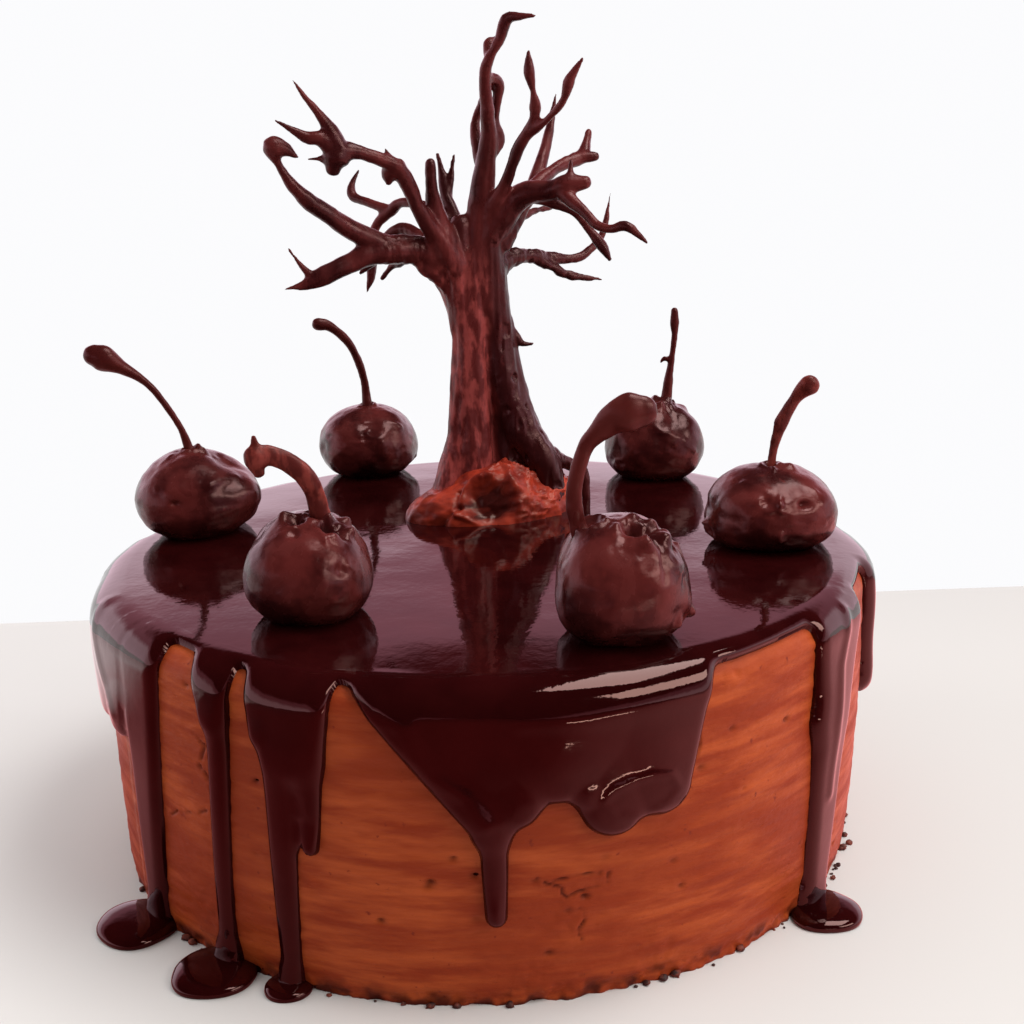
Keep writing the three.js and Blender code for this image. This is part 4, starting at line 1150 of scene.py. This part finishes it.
TRUNK_UP_TO = (147, 167)  # heights over which the trunk gives way to the boughs
TRUNK_MIDDLE = 4
TRUNK_REACH = (20, 34)  # distances to each side of its middle over which it ends
FOLD_HEIGHT = 0.6
HOLE_DEPTH = 0.8


def in_trunk(points):
    """1 in the trunk and 0 out in the boughs."""
    aside = abs(points[:, 0] - TRUNK_MIDDLE)
    return smooth_step(*TRUNK_UP_TO[::-1], points[:, 2]) * smooth_step(*TRUNK_REACH[::-1], aside)


def bark(points):
    """Relief of the tree: long folds down the trunk, knots and hand marks on the boughs."""
    trunk = in_trunk(points)
    folds = rough(points * np.array([1, 1, 0.14]), 3.2, 3, 61)
    knots = 0.26 * rough(points, 5, 2, 65) + 0.06 * noise(points, 1.4, 67)
    holes = smooth_step(0.35, 0.75, noise(points * np.array([1, 1, 0.45]), 2.0, 69))
    pitted = trunk * smooth_step(3, 9, points[:, 0]) * smooth_step(140, 120, points[:, 2])
    return FOLD_HEIGHT * trunk * folds + (1 - 0.5 * trunk) * knots - HOLE_DEPTH * pitted * holes


def tree_tones(points):
    """Where the trunk is darkened as painted shade, on its right, and lightened as painted light, low on its
    left.
    """
    right = smooth_step(3.5, 6.5, points[:, 0] + 1.5 * noise(points, 9, 68))
    low = smooth_step(158, 138, points[:, 2]) * smooth_step(18, 12, abs(points[:, 0]))
    near = smooth_step(38, 31, points[:, 1])
    return in_trunk(points) * right, low * (1 - right) * near


def make_tree(material):
    """The chocolate tree: all its limbs fused into one skin."""
    shell = Shell()
    for rows in FEET + BOUGHS:
        add_bar(shell, rows)
    mesh = fused(shell.mesh("chocolate_tree"), TREE_VOXEL)
    mesh.name = "chocolate_tree"
    relax(mesh, TREE_SMOOTHING)
    shade, rubbed_and_painted_light = tree_tones(mesh_points(mesh))
    # Painted shade on the trunk's right, and painted light low on its left.
    add_attribute(mesh, "shade", shade)
    add_attribute(mesh, "rubbed_and_painted_light", rubbed_and_painted_light)
    weathered(mesh, bark)
    points = mesh_points(mesh)
    points[:, 2] = np.maximum(points[:, 2], TREE_FOOT)
    set_points(mesh, points)
    add_piece("chocolate_tree", mesh, material, ["tree"])


# ---------------------------------------------------------------- mound

MOUND = {"at": (4, 29), "length": 23.5, "depth": 14, "height": 13.5, "turn": 17}
MOUND_COLUMNS = 240
MOUND_ROWS = 90
MOUND_FROM = -0.12  # height on the unit ball where it is cut off
MOUND_FOOT = GLAZE_TOP - 0.5  # just inside the ganache
HOLLOW = {"right": -0.2, "up": 0.08, "reach": 0.33, "depth": 0.24, "lip": 0.08}  # darkened as painted shade
LEFT_FOLD = [(-0.8, -0.3), (-0.6, 0.1), (-0.5, 0.5)]
FOLD = {"reach": 0.05, "depth": 0.07}
TEETH = {"size": 0.28, "height": 0.11}  # torn peaks along the crest and on the right


def mound_relief(places):
    """How far the mound stands out, as a share, and how dark it is painted: painted shade in the hollow and
    smears of ganache in streaks.
    """
    lumps = places * np.array([1.5, 1.0, 0.9])
    out = 0.12 * noise(lumps, 0.75, 71) + 0.02 * rough(lumps, 0.2, 2, 73)
    out += 0.16 * np.exp(-(((places[:, 0] + 0.05) / 0.42) ** 4)) * smooth_step(0.1, 0.8, places[:, 2])
    right = smooth_step(-0.3, 0.3, places[:, 0] + 0.3 * noise(lumps, 0.5, 75))
    crest = smooth_step(0.45, 0.9, places[:, 2]) * smooth_step(-0.5, 0.1, places[:, 0])
    sharp = (1 - np.abs(rough(lumps, TEETH["size"], 3, 77))) ** 3
    out += TEETH["height"] * np.maximum(0.55 * right, crest) * sharp
    from_hollow = places - facing(HOLLOW["right"], HOLLOW["up"])
    away = np.linalg.norm(from_hollow * np.array([1.0, 0.6, 0.85]), axis=1)
    away += 0.07 * rough(lumps, 0.35, 2, 81)
    hollow = np.exp(-((away / HOLLOW["reach"]) ** 4))
    lip = np.exp(-(((away - 1.15 * HOLLOW["reach"]) / 0.06) ** 2))
    lip *= smooth_step(-0.3, 0.4, noise(lumps, 0.4, 82))
    out += HOLLOW["lip"] * lip - HOLLOW["depth"] * hollow
    for (right_a, up_a), (right_b, up_b) in zip(LEFT_FOLD, LEFT_FOLD[1:]):
        line = distance_to_chord(places, facing(right_a, up_a), facing(right_b, up_b))
        out -= FOLD["depth"] * np.exp(-((line / FOLD["reach"]) ** 2))
    streaks = smooth_step(-0.2, 0.5, rough(lumps * np.array([1, 1, 2.5]), 0.4, 2, 79)) * (1 - 0.5 * right)
    # The hollow is darkened as painted shade; the streaks are smears of ganache.
    return out, np.clip(0.85 * hollow + 0.6 * streaks, 0, 1)


def make_mound(material):
    """Torn buttercream pressed round the foot of the tree."""
    places = ball_places(MOUND_COLUMNS, MOUND_ROWS * 2)
    places = places[places[:, 2] > MOUND_FROM]
    rows = len(places) // MOUND_COLUMNS
    out, smear_and_shade = mound_relief(places)
    turn = math.radians(MOUND["turn"])
    x = places[:, 0] * MOUND["length"] * (1 + out)
    y = places[:, 1] * MOUND["depth"] * (1 + out)
    up = np.sign(places[:, 2]) * np.abs(places[:, 2]) ** 0.85 * MOUND["height"] * (0.86 + 1.3 * out)
    points = np.stack([
        MOUND["at"][0] + x * math.cos(turn) - y * math.sin(turn),
        MOUND["at"][1] + x * math.sin(turn) + y * math.cos(turn),
        np.maximum(GLAZE_TOP + up, MOUND_FOOT),
    ], axis=-1)
    shell = Shell()
    shell.add(points, grid_faces(rows, MOUND_COLUMNS, closed=True) + end_faces(rows, MOUND_COLUMNS))
    mesh = shell.mesh("torn_mound")
    add_attribute(mesh, "smear_and_shade", smear_and_shade)
    add_piece("torn_mound", mesh, material, ["mound"])


# ---------------------------------------------------------------- shaders

def put(tree, kind, inputs=(), **settings):
    """Adds a node. Each of its inputs is a value or the output socket of another node."""
    made = tree.nodes.new(kind)
    for name, value in settings.items():
        setattr(made, name, value)
    for name, value in dict(inputs).items():
        if isinstance(value, bpy.types.NodeSocket):
            tree.links.new(value, made.inputs[name])
        else:
            made.inputs[name].default_value = value
    return made


def start_group(name, inputs, output):
    """A node group that works on the object's own coordinates, with one number as its result."""
    tree = bpy.data.node_groups.new(name, "ShaderNodeTree")
    for label, kind, value in inputs:
        socket = tree.interface.new_socket(name=label, in_out="INPUT", socket_type=kind)
        socket.default_value = value
    tree.interface.new_socket(name=output, in_out="OUTPUT", socket_type="NodeSocketFloat")
    given = tree.nodes.new("NodeGroupInput")
    place = put(tree, "ShaderNodeTexCoord").outputs["Object"]
    scaled = put(tree, "ShaderNodeVectorMath", {0: place, 1: given.outputs["Scale"]}, operation="MULTIPLY")
    return tree, given, scaled.outputs["Vector"]


def patches_group():
    """Soft patches: 0 where the noise is low, 1 where it is high. Scale is in lumps to a metre."""
    inputs = [
        ("Scale", "NodeSocketVector", (100, 100, 100)),
        ("Low", "NodeSocketFloat", 0.4),
        ("High", "NodeSocketFloat", 0.6),
    ]
    tree, given, place = start_group("chocolate_patches", inputs, "Mask")
    lumps = put(tree, "ShaderNodeTexNoise", {"Vector": place, "Scale": 1, "Detail": 4, "Roughness": 0.55})
    low, high = given.outputs["Low"], given.outputs["High"]
    limits = {"Value": lumps.outputs["Fac"], "From Min": low, "From Max": high}
    mask = put(tree, "ShaderNodeMapRange", limits, interpolation_type="SMOOTHSTEP")
    put(tree, "NodeGroupOutput", {"Mask": mask.outputs["Result"]})
    return tree


def grain_group():
    """Fine relief for a Bump node: small lumps with a few pits among them."""
    inputs = [
        ("Scale", "NodeSocketVector", (600, 600, 600)),
        ("Pits", "NodeSocketFloat", 0.3),
    ]
    tree, given, place = start_group("fine_grain", inputs, "Height")
    lumps = put(tree, "ShaderNodeTexNoise", {"Vector": place, "Scale": 1, "Detail": 5, "Roughness": 0.6})
    cells = put(tree, "ShaderNodeTexVoronoi", {"Vector": place, "Scale": 0.6, "Randomness": 1})
    dip = {"Value": cells.outputs["Distance"], "From Max": 0.16, "To Min": 1.0, "To Max": 0.0}
    pit = put(tree, "ShaderNodeMapRange", dip).outputs["Result"]
    sunk = put(tree, "ShaderNodeMath", {0: pit, 1: given.outputs["Pits"]}, operation="MULTIPLY")
    ends = {0: lumps.outputs["Fac"], 1: sunk.outputs[0]}
    height = put(tree, "ShaderNodeMath", ends, operation="SUBTRACT")
    put(tree, "NodeGroupOutput", {"Height": height.outputs[0]})
    return tree


PATCHES = patches_group()
GRAIN = grain_group()


def start_material(name):
    """A material whose surface is one Principled shader: itself, its tree and that shader."""
    material = bpy.data.materials.new(name)
    material.use_nodes = True
    return material, material.node_tree, material.node_tree.nodes["Principled BSDF"]


def patches(tree, scale, low, high):
    """Soft patches of that scale, in lumps to a metre along each axis, as a mask."""
    inputs = {"Scale": scale, "Low": low, "High": high}
    return put(tree, "ShaderNodeGroup", inputs, node_tree=PATCHES).outputs["Mask"]


def painted(tree, name):
    """The numbers that a mesh holds under that name."""
    return put(tree, "ShaderNodeAttribute", attribute_name=name).outputs["Fac"]


def blend(tree, mask, low, high):
    """A colour that goes from low to high with the mask. Either may be a colour or a socket."""
    made = tree.nodes.new("ShaderNodeMix")
    made.data_type = "RGBA"
    tree.links.new(mask, made.inputs["Factor"])
    for socket, value in zip((made.inputs[6], made.inputs[7]), (low, high)):
        if isinstance(value, bpy.types.NodeSocket):
            tree.links.new(value, socket)
        else:
            socket.default_value = (*value, 1)
    return made.outputs[2]


def span(tree, mask, low, high):
    """A number that goes from low to high with the mask."""
    ends = {"Value": mask, "To Min": low, "To Max": high}
    return put(tree, "ShaderNodeMapRange", ends).outputs["Result"]


def bump(tree, scale, pits, height_mm):
    """Normals for fine relief of that height."""
    grain = put(tree, "ShaderNodeGroup", {"Scale": scale, "Pits": pits}, node_tree=GRAIN)
    inputs = {"Height": grain.outputs["Height"], "Distance": height_mm * MM, "Strength": 1.0}
    return put(tree, "ShaderNodeBump", inputs).outputs["Normal"]


def finish(tree, shader, colour, roughness, normal, **plain):
    """Joins the changing inputs to the shader and sets the plain ones on it."""
    tree.links.new(colour, shader.inputs["Base Color"])
    tree.links.new(roughness, shader.inputs["Roughness"])
    tree.links.new(normal, shader.inputs["Normal"])
    for name, value in plain.items():
        shader.inputs[name.replace("_", " ")].default_value = value


# Linear colours. Tones go from the darker one to the lighter one.
GANACHE_TONES = ((0.012, 0.001, 0.0012), (0.02, 0.0018, 0.002))
CREAM_TONES = ((0.27, 0.032, 0.0068), (0.45, 0.082, 0.0195))
CREAM_DEEP = (0.27, 0.034, 0.0074)  # in broad patches
CREAM_SPECK = (0.2, 0.024, 0.009)
CREAM_SHADE_AND_FOOT = (0.05, 0.008, 0.004)  # painted shade in cracks and pits, and darker along the foot
TORN_TONES = ((0.19, 0.014, 0.0075), (0.38, 0.038, 0.0165))
# Smears of ganache in streaks, and painted shade in the hollow.
TORN_SMEAR_AND_SHADE = (0.045, 0.006, 0.005)
SPONGE_TONES = ((0.03, 0.008, 0.006), (0.2, 0.04, 0.02))
SCUFF_AND_LIGHT = (3, 3.8, 3.6)  # rubbed chocolate on the stems, and painted light on the trunk, over its lighter tone, in red, green and blue
BLOOM = 1.1  # the same for the pale bloom on it
WARM_SHINE = {  # tint of the reflections
    "ganache": (1, 0.6, 0.55, 1), "buttercream": (1, 0.75, 0.65, 1), "chocolate": (1, 0.6, 0.58, 1),
}


def ganache_material():
    """Mirror-smooth dark ganache, barely uneven."""
    material, tree, shader = start_material("mirror_ganache")
    slow = patches(tree, (60, 60, 60), 0.35, 0.65)
    colour = blend(tree, slow, *GANACHE_TONES)
    roughness = span(tree, patches(tree, (140, 140, 140), 0.3, 0.7), 0.035, 0.075)
    finish(tree, shader, colour, roughness, bump(tree, (70, 70, 70), 0, 0.12),
           IOR=1.5, Specular_Tint=WARM_SHINE["ganache"])
    return material


def buttercream_material():
    """Chocolate buttercream spread with a palette knife: long smears, with painted shade in its cracks and
    pits and darker along its foot.
    """
    material, tree, shader = start_material("spread_buttercream")
    smears = patches(tree, (45, 45, 300), 0.32, 0.68)
    slow = patches(tree, (24, 24, 70), 0.42, 0.7)
    specks = patches(tree, (420, 420, 420), 0.66, 0.74)
    base = blend(tree, slow, blend(tree, smears, *CREAM_TONES), CREAM_DEEP)
    base = blend(tree, specks, base, CREAM_SPECK)
    # Painted shade in cracks and pits, and a darker foot.
    colour = blend(tree, painted(tree, "darkening"), base, CREAM_SHADE_AND_FOOT)
    roughness = span(tree, smears, 0.5, 0.36)
    finish(tree, shader, colour, roughness, bump(tree, (320, 320, 900), 0.4, 0.22),
           IOR=1.3, Specular_Tint=WARM_SHINE["buttercream"])
    return material


def chocolate(name, dark, light, gloss, scale, relief):
    """Set chocolate in two tones, handled while it was soft.

    gloss is the lowest and highest roughness, scale the patches of tone in lumps to a metre, and
    relief the height of the grain.
    """
    material, tree, shader = start_material(name)
    tones = blend(tree, patches(tree, scale, 0.36, 0.66), dark, light)
    # Painted shade: darker where the mesh's shade is high, on the trunk's right.
    base = blend(tree, painted(tree, "shade"), tones, dark)
    scuffed_and_lit = tuple(rise * c for rise, c in zip(SCUFF_AND_LIGHT, light))
    scuffs_and_light = blend(tree, patches(tree, (420, 420, 170), 0.42, 0.62), light, scuffed_and_lit)
    # Paler in places: rubbed on the stems, and painted light low on the left of the trunk.
    base = blend(tree, painted(tree, "rubbed_and_painted_light"), base, scuffs_and_light)
    bloom = patches(tree, tuple(4.5 * s for s in scale), 0.6, 0.85)
    colour = blend(tree, bloom, base, tuple(BLOOM * c for c in light))
    roughness = span(tree, patches(tree, tuple(2 * s for s in scale), 0.3, 0.7), *gloss)
    finish(tree, shader, colour, roughness, bump(tree, (900, 900, 900), 0.5, relief),
           IOR=1.42, Specular_Tint=WARM_SHINE["chocolate"])
    return material


def tree_material():
    """Moulded by hand, with the folds and marks that this leaves."""
    return chocolate("moulded_tree_chocolate", dark=(0.03, 0.0045, 0.005), light=(0.1, 0.014, 0.0135),
                     gloss=(0.24, 0.38), scale=(110, 110, 45), relief=0.1)


def cherry_material():
    """Dipped, so smoother and glossier."""
    return chocolate("dipped_cherry_chocolate", dark=(0.027, 0.004, 0.0042),
                     light=(0.096, 0.0145, 0.0132), gloss=(0.18, 0.32), scale=(90, 90, 70), relief=0.05)


def stem_material():
    """The same coat, thinner and a little duller."""
    return chocolate("dipped_stem_chocolate", dark=(0.048, 0.006, 0.0055),
                     light=(0.08, 0.0105, 0.0085), gloss=(0.26, 0.4), scale=(90, 90, 50), relief=0.012)


def mound_material():
    """Torn buttercream: bright where it is torn open, with smears of ganache in streaks and painted shade in
    its hollow.
    """
    material, tree, shader = start_material("torn_buttercream")
    base = blend(tree, patches(tree, (170, 170, 260), 0.35, 0.65), *TORN_TONES)
    smeared_and_shaded = painted(tree, "smear_and_shade")
    colour = blend(tree, smeared_and_shaded, base, TORN_SMEAR_AND_SHADE)
    roughness = span(tree, smeared_and_shaded, 0.38, 0.25)
    finish(tree, shader, colour, roughness, bump(tree, (500, 500, 700), 0.5, 0.15),
           IOR=1.45, Specular_Tint=WARM_SHINE["buttercream"])
    return material


def crumb_material():
    """Dark sponge, dry and pitted."""
    material, tree, shader = start_material("sponge_crumb")
    colour = blend(tree, patches(tree, (300, 300, 300), 0.4, 0.6), *SPONGE_TONES)
    roughness = span(tree, patches(tree, (700, 700, 700), 0.3, 0.7), 0.55, 0.75)
    finish(tree, shader, colour, roughness, bump(tree, (1500, 1500, 1500), 0.8, 0.2))
    return material


# ---------------------------------------------------------------- pieces

def build_cake():
    """Every piece of the cake, each with its material."""
    make_buttercream(buttercream_material())
    make_crumbs(crumb_material())
    make_ganache(ganache_material())
    make_tree(tree_material())
    make_mound(mound_material())
    coat = cherry_material()
    stalk = stem_material()
    for place, cherry in CHERRIES.items():
        make_cherry(place, cherry, coat)
        make_stem(place, stalk)


# ---------------------------------------------------------------- stage, light and camera

TABLE_EDGE = 168  # distance behind the cake's middle where the table ends
FLOOR_REACH = 4000
TABLE = (0.69, 0.69, 0.68)
# Painted shade: the table's colour on its right.
TABLE_RIGHT_SHADE = (0.57, 0.57, 0.56)

# The table as mirrored by chocolate.
MIRRORED_NEAR = (0.3, 0.015, 0.017)
MIRRORED_RIGHT = (1.1, 0.42, 0.44)
MIRRORED_BEHIND = (1.0, 0.85, 0.88)  # on the left

# Where the table's tones change: a direction across it, then from and to where in metres.
TO_SHADED_RIGHT = ((1, 0, 0), -0.1, 0.2)
TO_FAR_RIGHT = ((0.8, 1, 0), -0.26, 0.06)
TO_FAR_LEFT = ((-0.5, 1, 0), 0.1, 0.2)

# The room, and the same room as mirrored by chocolate: warm and deep.
BACKDROP = (0.97, 0.97, 0.985)
ROOM_DARK = (0.13, 0.118, 0.115)  # the camera's side of the room
ROOM_BRIGHT = (1.0, 0.98, 0.97)  # overhead and behind
MIRROR_DARK = (0.1, 0.012, 0.015)
MIRROR_BRIGHT = (0.8, 0.34, 0.44)  # low behind and to both sides
MIRROR_LOW = (1.7, 1.25, 1.45)  # close to the horizon

# Where the room's tones change: shares of X, Y and Z in a direction, from and to, and the share of
# how far it points to either side.
ROOM_RISE = ((0.0, 1.0, 0.75), -0.5, 0.6)
MIRROR_RISE = ((0.0, 0.25, -1.0), -0.22, -0.12, 0.35)
HORIZON_RISE = ((0.0, 0.25, -1.0), -0.07, 0.06, 0.35)


def lean_mask(tree, way, shares, low, high, sides=0.0):
    """0 to 1 by how far a place or direction leans along a vector, and to either side."""
    ahead = put(tree, "ShaderNodeVectorMath", {0: way, 1: shares}, operation="DOT_PRODUCT")
    size = put(tree, "ShaderNodeVectorMath", {0: way}, operation="ABSOLUTE").outputs["Vector"]
    aside = put(tree, "ShaderNodeVectorMath", {0: size, 1: (sides, 0, 0)}, operation="DOT_PRODUCT")
    both = {0: ahead.outputs["Value"], 1: aside.outputs["Value"]}
    total = put(tree, "ShaderNodeMath", both, operation="ADD").outputs["Value"]
    limits = {"Value": total, "From Min": low, "From Max": high}
    return put(tree, "ShaderNodeMapRange", limits, interpolation_type="SMOOTHSTEP").outputs["Result"]


def table_material():
    """A white table, painted a little darker on the right as shade, that chocolate mirrors in warm tones."""
    material, tree, shader = start_material("white_table")
    place = put(tree, "ShaderNodeTexCoord").outputs["Object"]
    mirrored = blend(tree, lean_mask(tree, place, *TO_FAR_RIGHT), MIRRORED_NEAR, MIRRORED_RIGHT)
    mirrored = blend(tree, lean_mask(tree, place, *TO_FAR_LEFT), mirrored, MIRRORED_BEHIND)
    white = blend(tree, lean_mask(tree, place, *TO_SHADED_RIGHT), TABLE, TABLE_RIGHT_SHADE)
    ray = put(tree, "ShaderNodeLightPath")
    colour = blend(tree, ray.outputs["Is Glossy Ray"], white, mirrored)
    tree.links.new(colour, shader.inputs["Base Color"])
    shader.inputs["Roughness"].default_value = 0.6
    return material


def wall_material():
    """Glows as bright as the backdrop, so that no line shows between them."""
    material, _, shader = start_material("white_distance")
    shader.inputs["Base Color"].default_value = (0, 0, 0, 1)
    shader.inputs["Specular IOR Level"].default_value = 0
    shader.inputs["Emission Color"].default_value = (*BACKDROP, 1)
    shader.inputs["Emission Strength"].default_value = 1
    return material


def stage_sheet(name, y_from, y_to, material):
    """A flat sheet on the ground that isn't part of the cake."""
    reach = FLOOR_REACH
    corners = [(-reach, y_from, 0), (reach, y_from, 0), (reach, y_to, 0), (-reach, y_to, 0)]
    mesh = bpy.data.meshes.new(name)
    mesh.from_pydata([[c * MM for c in corner] for corner in corners], [], [[0, 1, 2, 3]])
    mesh.materials.append(material)
    sheet = bpy.data.objects.new(name, mesh)
    bpy.context.scene.collection.objects.link(sheet)


def make_world():
    """A white room: bright above and behind, dim on the camera's side."""
    world = bpy.data.worlds.new("studio")
    bpy.context.scene.world = world
    world.use_nodes = True
    tree = world.node_tree
    way = put(tree, "ShaderNodeTexCoord").outputs["Generated"]
    room = blend(tree, lean_mask(tree, way, *ROOM_RISE), ROOM_DARK, ROOM_BRIGHT)
    glow = blend(tree, lean_mask(tree, way, *HORIZON_RISE), MIRROR_BRIGHT, MIRROR_LOW)
    mirrored = blend(tree, lean_mask(tree, way, *MIRROR_RISE), MIRROR_DARK, glow)
    ray = put(tree, "ShaderNodeLightPath")
    lit = blend(tree, ray.outputs["Is Glossy Ray"], room, mirrored)
    seen = blend(tree, ray.outputs["Is Camera Ray"], lit, BACKDROP)
    tree.links.new(seen, tree.nodes["Background"].inputs["Color"])


# Lights: place, the point they face, width and height, power in watts, colour.
LIGHTS = {
    "skylight": ((320, -80, 780), (0, -20, 60), (520, 330), 4.1, (1.0, 0.96, 0.94)),
    "window": ((520, -380, 430), (20, -60, 70), (490, 170), 2.0, (1.0, 0.92, 0.85)),
    "left_window": ((-640, 200, 420), (0, 0, 120), (260, 360), 1.0, (1.0, 0.9, 0.88)),
    "table_glint": ((96, -223, 24), (20, -98, 45), (60, 5), 0.011, (1.0, 0.88, 0.76)),
}
GLINTS = ("table_glint",)  # seen only in reflections
SOFT_LIGHTS = ("left_window",)  # never seen in reflections


def aim(place, target):
    """A matrix at a place whose -Z axis points at the target."""
    start = Vector(place) * MM
    towards = Vector(target) * MM - start
    return Matrix.Translation(start) @ towards.to_track_quat("-Z", "Y").to_matrix().to_4x4()


def make_lights():
    """Windows above and at both sides, and a strip of light that shows only in the glaze."""
    for name, (place, target, size, power, colour) in LIGHTS.items():
        data = bpy.data.lights.new(name, "AREA")
        data.shape = "RECTANGLE"
        data.size, data.size_y = (side * MM for side in size)
        data.energy = power
        data.color = colour
        light = bpy.data.objects.new(name, data)
        light.matrix_world = aim(place, target)
        light.visible_camera = False
        light.visible_diffuse = name not in GLINTS
        light.visible_glossy = name not in SOFT_LIGHTS
        bpy.context.scene.collection.objects.link(light)


CAMERA_PLACE = (0, -386.2, 193.5)
CAMERA_DOWN = 15.73  # degrees below level
CAMERA_RIGHT = 1.30  # degrees of turn towards +X
CAMERA_ROLL = -0.0291  # radians
LENS = 53.15
SENSOR = 36
NEAREST = 10  # what is closer to the camera isn't shown


def make_camera():
    """Stands in front of the cake and looks a little down on it."""
    data = bpy.data.cameras.new("front_camera")
    data.lens = LENS
    data.sensor_width = SENSOR
    data.clip_start = NEAREST * MM
    down, right = math.radians(CAMERA_DOWN), math.radians(CAMERA_RIGHT)
    ahead = Vector((math.sin(right) * math.cos(down), math.cos(right) * math.cos(down), -math.sin(down)))
    side = Vector((math.cos(right), -math.sin(right), 0))
    up = side.cross(ahead)
    rolled_side = math.cos(CAMERA_ROLL) * side + math.sin(CAMERA_ROLL) * up
    rolled_up = math.cos(CAMERA_ROLL) * up - math.sin(CAMERA_ROLL) * side
    turn = Matrix((rolled_side, rolled_up, -ahead)).transposed()
    camera = bpy.data.objects.new("front_camera", data)
    camera.matrix_world = Matrix.Translation(Vector(CAMERA_PLACE) * MM) @ turn.to_4x4()
    bpy.context.scene.collection.objects.link(camera)
    bpy.context.scene.camera = camera


build_cake()
stage_sheet("table_top", -FLOOR_REACH, TABLE_EDGE, table_material())
stage_sheet("white_distance", TABLE_EDGE, FLOOR_REACH, wall_material())
make_world()
make_lights()
make_camera()
bpy.context.scene.view_settings.view_transform = "Standard"
